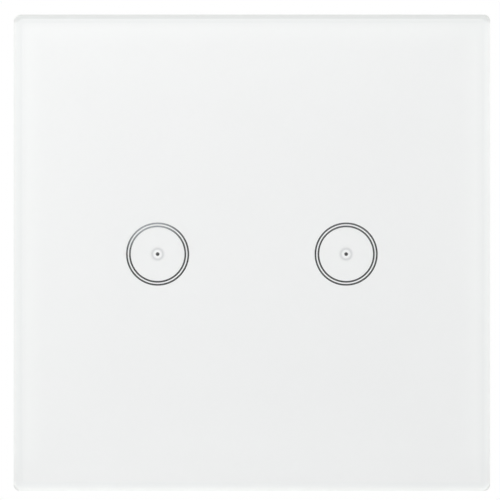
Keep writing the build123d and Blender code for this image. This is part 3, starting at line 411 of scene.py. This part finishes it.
# Glass-epoxy laminate under resist, etched and coated: copper tracks on a 1.27 mm grid show as
# paler ridges through the resist, with plated via holes between them. Tracks and vias are drawn
# larger than the finest real ones, so that they show.
def circuit_laminate(name, resist, deep, track):
    grid = 1.27
    long_run = 9.0
    short_run = 7.0
    half_track = 0.11
    track_height = 0.035
    zone_width = 100 / 11
    via_spacing = 100 / 28
    via_radius = 0.085 * via_spacing
    material, tree, place = start_material(name)
    lines = {"Mortar": linear(track), "Scale": 1.0, "Mortar Size": half_track, "Mortar Smooth": 0.2,
             "Row Height": grid}
    along = add(tree, "ShaderNodeMapping", {"Vector": place, "Rotation": (radians(90), 0, 0)})
    rows = add(tree, "ShaderNodeTexBrick", {
        "Vector": along, "Color1": linear(resist), "Color2": linear(deep), "Brick Width": long_run,
        **lines}, offset=0.37)
    crossed = add(tree, "ShaderNodeMapping", {"Vector": place,
                                              "Rotation": (radians(90), 0, radians(90))})
    columns = add(tree, "ShaderNodeTexBrick", {
        "Vector": crossed, "Color1": linear(deep), "Color2": linear(resist), "Brick Width": short_run,
        **lines}, offset=0.61)

    # Each zone of the board has its tracks one way
    zones = add(tree, "ShaderNodeTexNoise", {"Vector": place, "Scale": 1 / zone_width, "Detail": 1.0})
    choice = add(tree, "ShaderNodeMath", {0: zones, 1: 0.5}, operation="GREATER_THAN")
    fill = add(tree, "ShaderNodeMix", {"Factor": choice, "A": rows.outputs["Color"],
                                       "B": columns.outputs["Color"]}, data_type="RGBA")
    ridge = add(tree, "ShaderNodeMix", {"Factor": choice, "A": rows.outputs["Fac"],
                                        "B": columns.outputs["Fac"]}, data_type="FLOAT")
    holes = add(tree, "ShaderNodeTexVoronoi", {"Vector": place, "Scale": 1 / via_spacing})
    plated = add(tree, "ShaderNodeMath", {0: holes, 1: via_radius / via_spacing}, operation="LESS_THAN")
    colour = add(tree, "ShaderNodeMix", {"Factor": plated, "A": fill, "B": linear("#C2A25C")},
                 data_type="RGBA")
    relief = add(tree, "ShaderNodeBump", {"Height": ridge, "Strength": 0.6,
                                          "Distance": track_height * MM})
    surface = add(tree, "ShaderNodeBsdfPrincipled", {
        "Base Color": colour, "Roughness": 0.34, "IOR": 1.55, "Normal": relief})
    add(tree, "ShaderNodeOutputMaterial", {"Surface": surface})
    return material


# Epoxy moulding compound over a tinned lead frame, transfer moulded: matt charcoal with a pale dot at
# the first lead, and bright feet that come out along both long sides.
def footed_chip(name, node):
    foot_length = 1.0
    foot_clearance = 0.02
    dot_inset = 0.8
    dot_radius = 0.3
    pepper_width = 0.2
    pepper_depth = 0.015
    low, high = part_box(node)
    middle = (low + high) / 2 / MM
    half_body = (high.z - low.z) / 2 / MM - foot_length
    dot_place = (low.x / MM - middle.x + dot_inset, 0, dot_inset - half_body)
    material, tree, place = start_material(name)
    local = add(tree, "ShaderNodeVectorMath", {0: place, 1: middle}, operation="SUBTRACT")
    split = add(tree, "ShaderNodeSeparateXYZ", {"Vector": local})
    beyond = add(tree, "ShaderNodeMath", {0: split.outputs["Z"]}, operation="ABSOLUTE")
    foot = add(tree, "ShaderNodeMath", {0: beyond, 1: half_body + foot_clearance},
               operation="GREATER_THAN")
    flat = add(tree, "ShaderNodeCombineXYZ", {"X": split.outputs["X"], "Z": split.outputs["Z"]})
    away = add(tree, "ShaderNodeVectorMath", {0: flat, 1: dot_place}, operation="DISTANCE")
    dot = add(tree, "ShaderNodeMath", {0: away, 1: dot_radius}, operation="LESS_THAN")
    pepper = add(tree, "ShaderNodeTexNoise", {"Vector": place, "Scale": 1 / pepper_width, "Detail": 3.0})
    resin = add(tree, "ShaderNodeValToRGB", {"Fac": pepper}, [(0.35, "#232325"), (0.65, "#2D2D2F")])
    marked = add(tree, "ShaderNodeMix", {"Factor": dot, "A": resin, "B": linear("#6F7072")},
                 data_type="RGBA")
    fill = add(tree, "ShaderNodeMix", {"Factor": foot, "A": marked, "B": linear("#CFD2D4")},
               data_type="RGBA")
    matt = add(tree, "ShaderNodeMapRange", {"Value": foot, "To Min": 0.6, "To Max": 0.25})
    relief = add(tree, "ShaderNodeBump", {"Height": pepper, "Strength": 0.3,
                                          "Distance": pepper_depth * MM})
    surface = add(tree, "ShaderNodeBsdfPrincipled", {
        "Base Color": fill, "Metallic": foot, "Roughness": matt, "Normal": relief})
    add(tree, "ShaderNodeOutputMaterial", {"Surface": surface})
    return material


# Aluminium can in a shrunk PVC sleeve: glossy dark blue, with the bare, scored end of the can showing
# inside the sleeve's turned-in rim, and a grey stripe down the side of the negative lead.
def sleeved_can(name, node):
    sleeve_rim = 0.8
    end_depth = 0.2
    score_edge = 0.1
    score_end = 0.25
    stripe_from = 0.86
    sheen_width = 2.0
    low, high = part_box(node)
    middle = (low + high) / 2 / MM
    radius = (high.x - low.x) / 2 / MM
    material, tree, place = start_material(name)
    local = add(tree, "ShaderNodeVectorMath", {0: place, 1: (middle.x, high.y / MM, middle.z)},
                operation="SUBTRACT")
    split = add(tree, "ShaderNodeSeparateXYZ", {"Vector": local})
    flat = add(tree, "ShaderNodeCombineXYZ", {"X": split.outputs["X"], "Z": split.outputs["Z"]})
    out = add(tree, "ShaderNodeVectorMath", {0: flat}, operation="LENGTH")
    inside = add(tree, "ShaderNodeMath", {0: out, 1: radius - sleeve_rim}, operation="LESS_THAN")
    at_end = add(tree, "ShaderNodeMath", {0: split.outputs["Y"], 1: -end_depth},
                 operation="GREATER_THAN")
    bare = add(tree, "ShaderNodeMath", {0: inside, 1: at_end}, operation="MULTIPLY")

    # The score across the end, which opens if the can fails. It is painted darker, as shade in its groove
    across = add(tree, "ShaderNodeMath", {0: split.outputs["X"]}, operation="ABSOLUTE")
    up = add(tree, "ShaderNodeMath", {0: split.outputs["Z"]}, operation="ABSOLUTE")
    nearest = add(tree, "ShaderNodeMath", {0: across, 1: up}, operation="MINIMUM")
    score = add(tree, "ShaderNodeMapRange", {"Value": nearest, "From Min": score_edge,
                                             "From Max": score_end})
    metal_and_score_shade = add(tree, "ShaderNodeValToRGB", {"Fac": score}, [(0.0, "#7E8184"), (1.0, "#CDD0D2")])

    stripe = add(tree, "ShaderNodeMath", {0: split.outputs["X"], 1: -stripe_from * radius},
                 operation="LESS_THAN")
    sheen = add(tree, "ShaderNodeTexNoise", {"Vector": place, "Scale": 1 / sheen_width, "Detail": 2.0})
    blue = add(tree, "ShaderNodeValToRGB", {"Fac": sheen}, [(0.35, "#18223A"), (0.65, "#212D49")])
    sleeve = add(tree, "ShaderNodeMix", {"Factor": stripe, "A": blue, "B": linear("#A9AFB8")},
                 data_type="RGBA")
    fill = add(tree, "ShaderNodeMix", {"Factor": bare, "A": sleeve, "B": metal_and_score_shade}, data_type="RGBA")
    shine = add(tree, "ShaderNodeMapRange", {"Value": bare, "To Min": 0.22, "To Max": 0.3})
    surface = add(tree, "ShaderNodeBsdfPrincipled", {
        "Base Color": fill, "Metallic": bare, "Roughness": shine})
    add(tree, "ShaderNodeOutputMaterial", {"Surface": surface})
    return material


# Enamelled copper wire, wound on a bobbin: bands of turns, with painted shade between them. The real
# turns are about 0.1 mm apart and are drawn at 0.64 mm, so that they show.
def wound_wire(name, colour, shade):
    turn = 0.64
    turn_relief = 0.06
    material, tree, place = start_material(name)
    # At scale 1 the wave has 20 radians a unit
    turns = add(tree, "ShaderNodeTexWave", {"Vector": place, "Scale": 2 * pi / 20 / turn,
                                            "Distortion": 0.4, "Detail": 1.0},
                wave_type="BANDS", bands_direction="Y").outputs["Fac"]
    # The dark of each band is painted shade between the turns
    fill = add(tree, "ShaderNodeValToRGB", {"Fac": turns}, [(0.1, shade), (0.7, colour)])
    relief = add(tree, "ShaderNodeBump", {"Height": turns, "Strength": 0.8,
                                          "Distance": turn_relief * MM})
    surface = add(tree, "ShaderNodeBsdfPrincipled", {
        "Base Color": fill, "Metallic": 1.0, "Roughness": 0.32, "Normal": relief})
    add(tree, "ShaderNodeOutputMaterial", {"Surface": surface})
    return material


# Each slot's finish
finishes = {
    "clear_glass": float_glass(),
    "white_film": printed_film(),
    "dark_print": slate_print(),
    "window_print": smoked_window(),
    "foam_tape": foam_tape(),
    # White ABS, injection moulded: satin, hardly yellow, with a fine spark-eroded grain
    "white_abs": moulded_plastic("white_abs_plastic", "#EDEEEC", "#E6E7E4", 0.46),
    # Polycarbonate with flame retardant, injection moulded: a greyer, harder white
    "housing_pc": moulded_plastic("white_polycarbonate", "#E4E5E3", "#DADBD9", 0.42, grain=0.5,
                                  bump=0.03),
    # Steel with clear zinc plating, cold headed: bluish grey with turned marks
    "zinc_screw": plated_metal("zinc_plated_steel", "#C9CCD0", "#A9ADB2", 0.28),
    # The boards' laminate is under a green resist
    "board_laminate": circuit_laminate("green_circuit_laminate", "#1C6A3F", "#185C38", "#2F8A55"),
    # Spring wire with gilt plating, drawn and coiled: warm yellow and bright
    "gilt_spring": plated_metal("gilt_spring_wire", "#E3C27A", "#C9A35A", 0.22),
    # Black nylon, injection moulded: a soft black with a grey sheen
    "black_plastic": moulded_plastic("black_nylon", "#1B1B1C", "#151516", 0.5, grain=0.25),
    # Milky epoxy, cast over the lamp's chip: a smooth, warm white
    "led_resin": moulded_plastic("milky_epoxy_lens", "#F1ECCB", "#E9E2B8", 0.2, grain=0.3, bump=0.003),
    # Tin-plated steel sheet, pressed: bright and slightly cloudy
    "tinned_sheet": plated_metal("tin_plated_sheet", "#D5D7D6", "#CBCECD", 0.25, streak=(3.0, 3.0, 0.3)),
    # Epoxy moulding compound, transfer moulded: matt charcoal with a peppery grain
    "chip_resin": moulded_plastic("chip_moulding_compound", "#2B2B2D", "#232325", 0.6, grain=0.2,
                                  bump=0.015),
    # Polyester cover, injection moulded: glossy signal blue
    "relay_cover": moulded_plastic("blue_polyester_cover", "#1F5FAE", "#1B5499", 0.24, grain=0.4,
                                   bump=0.006),
    # Glass-filled polyester, injection moulded: a dull black
    "relay_base_pbt": moulded_plastic("black_polyester_base", "#202124", "#191A1C", 0.45, grain=0.3),
    # Nylon without pigment, injection moulded: ivory and slightly waxy
    "nylon_white": moulded_plastic("natural_nylon", "#E2DECF", "#D7D2C0", 0.4, grain=0.4),
    "copper_wire": wound_wire("enamelled_copper_wire", "#C9703A", "#7A3716"),
    # Soft iron with nickel plating, stamped: a warm, even grey
    "soft_iron": plated_metal("nickel_plated_iron", "#C4C2BC", "#B6B4AE", 0.3),
    # Copper alloy strip, rolled and stamped: reddish, with fine rolling marks
    "contact_alloy": plated_metal("rolled_copper_alloy", "#D69B62", "#B57C47", 0.27,
                                  streak=(0.4, 6.0, 0.4)),
    # Ferrite, pressed and sintered: dark grey, dull, slightly pitted
    "ferrite": moulded_plastic("sintered_ferrite", "#3A3A3C", "#2C2C2E", 0.62, grain=0.3, bump=0.04),
    # Polyester tape over the winding: clear yellow, faintly glossy
    "yellow_tape": moulded_plastic("yellow_polyester_tape", "#E3B92B", "#D4A71C", 0.3, grain=0.9),
    # Printed PVC sleeve, heat shrunk: dark blue and glossy
    "can_sleeve": moulded_plastic("shrunk_pvc_sleeve", "#1E2A44", "#18223A", 0.22, grain=0.8, bump=0.01),
    # Epoxy lacquer, dipped: glossy blue with a rounded, slightly wavy skin
    "varistor_lacquer": moulded_plastic("dipped_blue_lacquer", "#2450A0", "#1D458F", 0.28, grain=0.9,
                                        bump=0.03),
    # Flameproof lacquer, sprayed: a flat grey green
    "resistor_lacquer": moulded_plastic("flameproof_lacquer", "#8FA79C", "#7F978C", 0.6, grain=0.3),
    # Green polyamide, injection moulded: satin and evenly coloured
    "terminal_nylon": moulded_plastic("green_polyamide", "#2E7D4C", "#276E43", 0.42),
    # Brass with a flash of tin, stamped and folded: pale straw
    "tinned_brass": plated_metal("tin_flashed_brass", "#D9CFA8", "#CEC398", 0.28, streak=(5.0, 0.5, 5.0)),
}
# Barium titanate ceramic, fired: the tan of small chip capacitors
ceramic_body = moulded_plastic("fired_tan_ceramic", "#B48F62", "#A37F55", 0.42, grain=0.3, bump=0.01)
# Solder, molten and set: bright, rounded and a little frosty
solder = plated_metal("set_solder", "#D4D6D8", "#AEB2B5", 0.2, streak=(2.0, 2.0, 2.0))
# Copper with a gold flash, etched: a soft yellow shine
gold_copper = plated_metal("gold_flashed_copper", "#E0BE72", "#CFA95C", 0.24, streak=(2.0, 2.0, 2.0))

# Nodes that look different from the others in their slot
own_finish = {
    "touch_chip": footed_chip("touch_chip_package", "touch_chip"),
    "power_chip": footed_chip("power_chip_package", "power_chip"),
    "input_capacitor": sleeved_can("input_capacitor_can", "input_capacitor"),
    "output_capacitor": sleeved_can("output_capacitor_can", "output_capacitor"),
    # The module's laminate is under a blue-black resist
    "wifi_module": circuit_laminate("black_circuit_laminate", "#15242B", "#111D23", "#274450"),
}

slot_of = {row["node"]: row["material_slot"] for row in frame["record"]["subparts"]}
for name, shown in frame["nodes"].items():
    shown.data.materials.clear()
    shown.data.materials.append(own_finish.get(name) or finishes[slot_of[name]])


# Pieces that the CAD leaves to this script

TO_ROOM = Vector((0, -1, 0))
TO_BOARD = Vector((0, 1, 0))
UPWARDS = Vector((0, 0, 1))
# A face looks one way when its normal has more than this share of its length along it.
FACING = 0.9


def deselect():
    bpy.ops.object.select_all(action="DESELECT")


def activate(piece):
    """Select a piece alone and make it the active one."""
    deselect()
    piece.select_set(True)
    bpy.context.view_layer.objects.active = piece


def named(piece, name):
    """Name a piece and its mesh."""
    piece.name = name
    piece.data.name = name
    return piece


def settle(piece):
    """Put the piece's place into its mesh, so that its object sits at the origin."""
    activate(piece)
    bpy.ops.object.transform_apply(location=True, rotation=True, scale=True)
    return piece


def block(name, width, depth, height, place=(0, 0, 0)):
    """A cube of a given size, to be shaped further."""
    deselect()
    bpy.ops.mesh.primitive_cube_add(size=1, location=place)
    piece = named(bpy.context.object, name)
    piece.scale = (width, depth, height)
    return settle(piece)


def pick_faces(way):
    """In edit mode, select only the faces that look one way."""
    mesh = bmesh.from_edit_mesh(bpy.context.object.data)
    for face in mesh.faces:
        face.select_set(False)
    bpy.ops.mesh.select_mode(type="FACE")
    for face in mesh.faces:
        if face.normal.dot(way) > FACING:
            face.select_set(True)
    bmesh.update_edit_mesh(bpy.context.object.data)


def scale_faces(way, width, height):
    """Widen or narrow the active piece where it looks one way, by shares of its size there."""
    bpy.ops.object.mode_set(mode="EDIT")
    pick_faces(way)
    bpy.ops.transform.resize(value=(width, 1, height))
    bpy.ops.object.mode_set(mode="OBJECT")


def modify(piece, kind, **settings):
    """Give the active piece a modifier and apply it."""
    modifier = piece.modifiers.new(kind.lower(), kind)
    for name, value in settings.items():
        setattr(modifier, name, value)
    bpy.ops.object.modifier_apply(modifier=modifier.name)


def join(parts, name):
    """Join parts as one piece."""
    deselect()
    for part in parts:
        part.select_set(True)
    bpy.context.view_layer.objects.active = parts[0]
    bpy.ops.object.join()
    return named(bpy.context.object, name)


def copies(first, depth, spots, name):
    """Copy a piece to each spot, given as X, Z and turn about Y, and join the copies as one piece."""
    made = []
    for x, z, turn in spots:
        copy = first.copy()
        copy.data = first.data.copy()
        bpy.context.scene.collection.objects.link(copy)
        copy.location = (x, depth, z)
        copy.rotation_euler = (0, turn, 0)
        made.append(settle(copy))
    bpy.data.objects.remove(first)
    return join(made, name)


def finish_piece(piece, material, body="switch_base", smooth=30):
    """Give a piece its material, its smooth faces and the body that it moves with."""
    activate(piece)
    piece.data.materials.clear()
    piece.data.materials.append(material)
    bpy.ops.object.shade_smooth_by_angle(angle=radians(smooth))
    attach(piece, body)


# Gold touch pads: the flat ring that each spring is soldered to
PAD_OUTER = 5.2 * MM
PAD_INNER = 3.4 * MM
PAD_THICKNESS = 0.035 * MM
deselect()
bpy.ops.mesh.primitive_circle_add(vertices=64, radius=PAD_OUTER, fill_type="NGON", location=(0, 0, 0),
                                  rotation=(radians(90), 0, 0))
pad = named(bpy.context.object, "touch_pad")
bpy.ops.object.mode_set(mode="EDIT")
bpy.ops.mesh.select_all(action="SELECT")
bpy.ops.mesh.inset(thickness=PAD_OUTER - PAD_INNER, depth=0)
bpy.ops.mesh.delete(type="FACE")
bpy.ops.object.mode_set(mode="OBJECT")
modify(pad, "SOLIDIFY", thickness=PAD_THICKNESS, offset=0)
settle(pad)
pads = copies(pad, BOARD_FACE - PAD_THICKNESS / 2, [(-KEY_X, KEY_Z, 0), (KEY_X, KEY_Z, 0)], "touch_pads")
finish_piece(pads, gold_copper)

# Header solder joints: a small cone of solder round each pin tail
PIN_COUNT = 7
PIN_PITCH = 2.0 * MM
SOLDER_RADIUS = 0.8 * MM
SOLDER_HEIGHT = 0.7 * MM
TIP_RISE = 0.3 * SOLDER_HEIGHT
# The width at the cone's shoulder and at its tip, each as a share of the width below it
SHOULDER_SHARE = 0.62
TIP_SHARE = 0.65
deselect()
bpy.ops.mesh.primitive_cylinder_add(vertices=24, radius=SOLDER_RADIUS, depth=SOLDER_HEIGHT,
                                    location=(0, 0, 0), rotation=(radians(90), 0, 0))
cone = settle(named(bpy.context.object, "header_solder"))
bpy.ops.object.mode_set(mode="EDIT")
pick_faces(TO_ROOM)
bpy.ops.transform.resize(value=(SHOULDER_SHARE, 1, SHOULDER_SHARE))
bpy.ops.mesh.extrude_region_move(TRANSFORM_OT_translate={"value": TIP_RISE * TO_ROOM})
bpy.ops.transform.resize(value=(TIP_SHARE, 1, TIP_SHARE))
bpy.ops.object.mode_set(mode="OBJECT")
modify(cone, "BEVEL", width=0.12 * MM, segments=2)
pin_spots = [((n - (PIN_COUNT - 1) / 2) * PIN_PITCH, HEADER_Z, 0) for n in range(PIN_COUNT)]
header_joints = copies(cone, BOARD_FACE - SOLDER_HEIGHT / 2, pin_spots, "header_solder_joints")
finish_piece(header_joints, solder, smooth=50)

# Chip resistors and capacitors of 1.6 by 0.8 mm
CHIP_LENGTH = 1.6 * MM
CHIP_WIDTH = 0.8 * MM
RESISTOR_HEIGHT = 0.45 * MM
RESISTOR_CAP = 0.3 * MM
CAPACITOR_HEIGHT = 0.8 * MM
CAPACITOR_CAP = 0.35 * MM
# A body is a little slimmer than its two ends
BODY_SHARE = 0.94


def chip_part(name, height, cap, spots, body_material):
    """Small two-ended chip parts: bodies in one piece, and their solder-coated ends in another."""
    depth = BOARD_FACE - height / 2
    body = block(name + "_body", CHIP_LENGTH - 2 * cap, height * BODY_SHARE, CHIP_WIDTH * BODY_SHARE)
    modify(body, "BEVEL", width=0.04 * MM, segments=1)
    finish_piece(copies(body, depth, spots, name + "_bodies"), body_material)

    end = block(name + "_end", cap, height, CHIP_WIDTH)
    # The solder fillet: the end's foot spreads out along the board
    scale_faces(TO_BOARD, width=1.9, height=1.12)
    modify(end, "BEVEL", width=0.06 * MM, segments=2)
    reach = (CHIP_LENGTH - cap) / 2
    end_spots = [(x + side * reach * cos(turn), z - side * reach * sin(turn), turn)
                 for x, z, turn in spots for side in (-1, 1)]
    finish_piece(copies(end, depth, end_spots, name + "_ends"), solder)


def spots_in_mm(rows):
    """Spots given as X and Z in mm and a turn, in metres."""
    return [(x * MM, z * MM, turn) for x, z, turn in rows]


# The chip parts stand round the touch chip, the lamps and the module. Each row is X, Z and turn.
UPRIGHT = pi / 2
resistor_spots = spots_in_mm([
    (-10.5, -10.0, 0), (-10.5, -11.8, 0), (-10.5, -13.6, 0), (-10.5, -15.4, 0),
    (10.5, -10.0, 0), (10.5, -11.8, 0), (10.5, -13.6, 0), (10.5, -15.4, 0),
    (-17.0, -7.4, 0), (17.0, -7.4, 0), (-22.6, 4.4, UPRIGHT), (22.6, 4.4, UPRIGHT),
    (-3.0, -20.5, UPRIGHT), (-1.0, -20.5, UPRIGHT), (1.0, -20.5, UPRIGHT), (3.0, -20.5, UPRIGHT),
    (-13.0, 19.5, 0), (-13.0, 17.6, 0), (13.0, 19.5, 0), (13.0, 17.6, 0)])
capacitor_spots = spots_in_mm([
    (-7.6, -8.2, UPRIGHT), (7.6, -8.2, UPRIGHT), (-11.2, 5.2, UPRIGHT), (11.2, 5.2, UPRIGHT),
    (-11.2, 8.4, UPRIGHT), (11.2, 8.4, UPRIGHT), (-6.6, -20.5, UPRIGHT), (6.6, -20.5, UPRIGHT),
    (-15.6, 13.8, 0), (15.6, 13.8, 0)])
chip_part("chip_resistor", RESISTOR_HEIGHT, RESISTOR_CAP, resistor_spots, finishes["chip_resin"])
chip_part("chip_capacitor", CAPACITOR_HEIGHT, CAPACITOR_CAP, capacitor_spots, ceramic_body)

# Small transistors: a moulded body of 2.9 by 1.3 mm with three bent leads
TRANSISTOR_LENGTH = 2.9 * MM
TRANSISTOR_HEIGHT = 1.0 * MM
TRANSISTOR_WIDTH = 1.3 * MM
TRANSISTOR_LIFT = 0.1 * MM
LEAD_WIDTH = 0.4 * MM
LEAD_THICKNESS = 0.12 * MM
LEAD_FOOT = 0.45 * MM
LEAD_OUT = 1.05 * MM
LEAD_RISE = 0.4 * MM
LEAD_SLANT = 0.14 * MM
LEAD_NECK = 0.3 * MM
LEAD_SPACING = 0.95 * MM
transistor_spots = spots_in_mm([(-14.6, -19.6, 0), (14.6, -19.6, 0), (-19.4, 19.0, 0), (19.4, 19.0, 0)])
shell = block("transistor_body", TRANSISTOR_LENGTH, TRANSISTOR_HEIGHT, TRANSISTOR_WIDTH)
scale_faces(TO_ROOM, width=0.93, height=0.84)
modify(shell, "BEVEL", width=0.06 * MM, segments=2)
shells = copies(shell, BOARD_FACE - TRANSISTOR_HEIGHT / 2 - TRANSISTOR_LIFT, transistor_spots,
                "transistor_bodies")
finish_piece(shells, finishes["chip_resin"])

lead = block("transistor_lead", LEAD_WIDTH, LEAD_THICKNESS, LEAD_FOOT,
             (0, -LEAD_THICKNESS / 2, -LEAD_OUT))
bpy.ops.object.mode_set(mode="EDIT")
# The foot rises to the middle of the body, and its neck runs in
pick_faces(UPWARDS)
bpy.ops.mesh.extrude_region_move(TRANSFORM_OT_translate={"value": (0, -LEAD_RISE, LEAD_SLANT)})
bpy.ops.mesh.extrude_region_move(TRANSFORM_OT_translate={"value": LEAD_NECK * UPWARDS})
bpy.ops.object.mode_set(mode="OBJECT")
# Two leads on the lower side and one, half a turn round, on the upper side
lead_spots = [(x + shift, z, turn) for x, z, _ in transistor_spots
              for shift, turn in ((-LEAD_SPACING, 0), (LEAD_SPACING, 0), (0, pi))]
finish_piece(copies(lead, BOARD_FACE, lead_spots, "transistor_leads"), solder)

# Solder along both edges of the radio module, over its plated half holes
MODULE_PADS = 8
MODULE_PITCH = 1.8 * MM
MODULE_ROW_DROP = 1.4 * MM
JOINT_LENGTH = 0.9 * MM
JOINT_WIDTH = 1.0 * MM
JOINT_PROUD = 0.06 * MM
JOINT_OUT = 0.05 * MM
joint = block("module_joint", JOINT_LENGTH, BOARD_FACE - MODULE_FACE + JOINT_PROUD, JOINT_WIDTH)
# The fillet is high against the module and runs out flat on the board
scale_faces(TO_ROOM, width=0.55, height=0.8)
modify(joint, "BEVEL", width=0.1 * MM, segments=2)
module_x = (module_high.x - module_low.x) / 2 + JOINT_OUT
module_middle = (module_low.z + module_high.z) / 2 - MODULE_ROW_DROP
module_spots = [(side * module_x, module_middle + (n - (MODULE_PADS - 1) / 2) * MODULE_PITCH, 0)
                for side in (-1, 1) for n in range(MODULE_PADS)]
module_joints = copies(joint, (BOARD_FACE + MODULE_FACE - JOINT_PROUD) / 2, module_spots,
                       "module_solder_joints")
finish_piece(module_joints, solder, smooth=50)

# Printed antenna: a meander of copper on the free end of the module
TRACE_WIDTH = 0.6 * MM
TRACE_THICKNESS = 0.035 * MM
MEANDERS = 5
MEANDER_PITCH = 2.4 * MM
MEANDER_HEIGHT = 3.4 * MM
ANTENNA_BOTTOM = CAN_TOP + 1.1 * MM


def antenna_strip(x, z, width, height):
    """One straight of the meander: a flat rectangle, drawn out to the copper's thickness."""
    deselect()
    bpy.ops.mesh.primitive_plane_add(size=1, location=(x, MODULE_FACE - TRACE_THICKNESS, z),
                                     rotation=(radians(90), 0, 0))
    strip = named(bpy.context.object, "antenna_strip")
    strip.scale = (width, height, 1)
    settle(strip)
    bpy.ops.object.mode_set(mode="EDIT")
    bpy.ops.mesh.select_all(action="SELECT")
    bpy.ops.mesh.extrude_region_move(TRANSFORM_OT_translate={"value": TRACE_THICKNESS * TO_BOARD})
    bpy.ops.mesh.select_all(action="SELECT")
    bpy.ops.mesh.normals_make_consistent(inside=False)
    bpy.ops.object.mode_set(mode="OBJECT")
    return strip


strips = []
for n in range(MEANDERS + 1):
    x = (n - MEANDERS / 2) * MEANDER_PITCH
    strips.append(antenna_strip(x, ANTENNA_BOTTOM + MEANDER_HEIGHT / 2, TRACE_WIDTH,
                                MEANDER_HEIGHT + TRACE_WIDTH))
    if n < MEANDERS:
        level = ANTENNA_BOTTOM + (MEANDER_HEIGHT if n % 2 == 0 else 0)
        strips.append(antenna_strip(x + MEANDER_PITCH / 2, level, MEANDER_PITCH - TRACE_WIDTH,
                                    TRACE_WIDTH))
finish_piece(join(strips, "printed_antenna"), gold_copper)


# Floor

# A pale floor well below the switch, which hangs as it does on its wall. It runs out into the white
# room like a photographer's paper sweep.
FLOOR_LEVEL = -0.25
FLOOR_RADIUS = 1.0
SWEEP_START = 0.30


# Matt backdrop paper: an even off-white with hardly any cloud. It fades into the room from the start
# of the sweep outwards, and it is out of the way for a camera that looks from below.
def backdrop_paper():
    cloud_width = 50.0
    material, tree, place = start_material("pale_studio_floor")
    dust = add(tree, "ShaderNodeTexNoise", {"Vector": place, "Scale": 1 / cloud_width, "Detail": 2.0})
    fill = add(tree, "ShaderNodeValToRGB", {"Fac": dust},
               [(NOISE_LOW, "#F9F9F8"), (NOISE_HIGH, "#FBFBFB")])
    paper = add(tree, "ShaderNodeBsdfPrincipled", {"Base Color": fill, "Roughness": 0.9})
    gone = add(tree, "ShaderNodeBsdfTransparent", {"Color": linear("#FFFFFF")})
    reach = add(tree, "ShaderNodeVectorMath", {0: place}, operation="LENGTH")
    sweep = add(tree, "ShaderNodeMapRange", {"Value": reach, "From Min": SWEEP_START / MM,
                                             "From Max": FLOOR_RADIUS / MM},
                interpolation_type="SMOOTHSTEP")
    from_below = add(tree, "ShaderNodeMath", {
        0: add(tree, "ShaderNodeNewGeometry").outputs["Backfacing"],
        1: add(tree, "ShaderNodeLightPath").outputs["Is Camera Ray"]}, operation="MULTIPLY")
    faded = add(tree, "ShaderNodeMath", {0: sweep, 1: from_below}, operation="MAXIMUM")
    surface = add(tree, "ShaderNodeMixShader", {0: faded, 1: paper, 2: gone})
    add(tree, "ShaderNodeOutputMaterial", {"Surface": surface})
    return material


deselect()
bpy.ops.mesh.primitive_circle_add(vertices=96, radius=FLOOR_RADIUS, fill_type="NGON",
                                  location=(0, 0, FLOOR_LEVEL))
floor = named(bpy.context.object, "studio_floor")
floor.data.materials.append(backdrop_paper())
settle(floor)
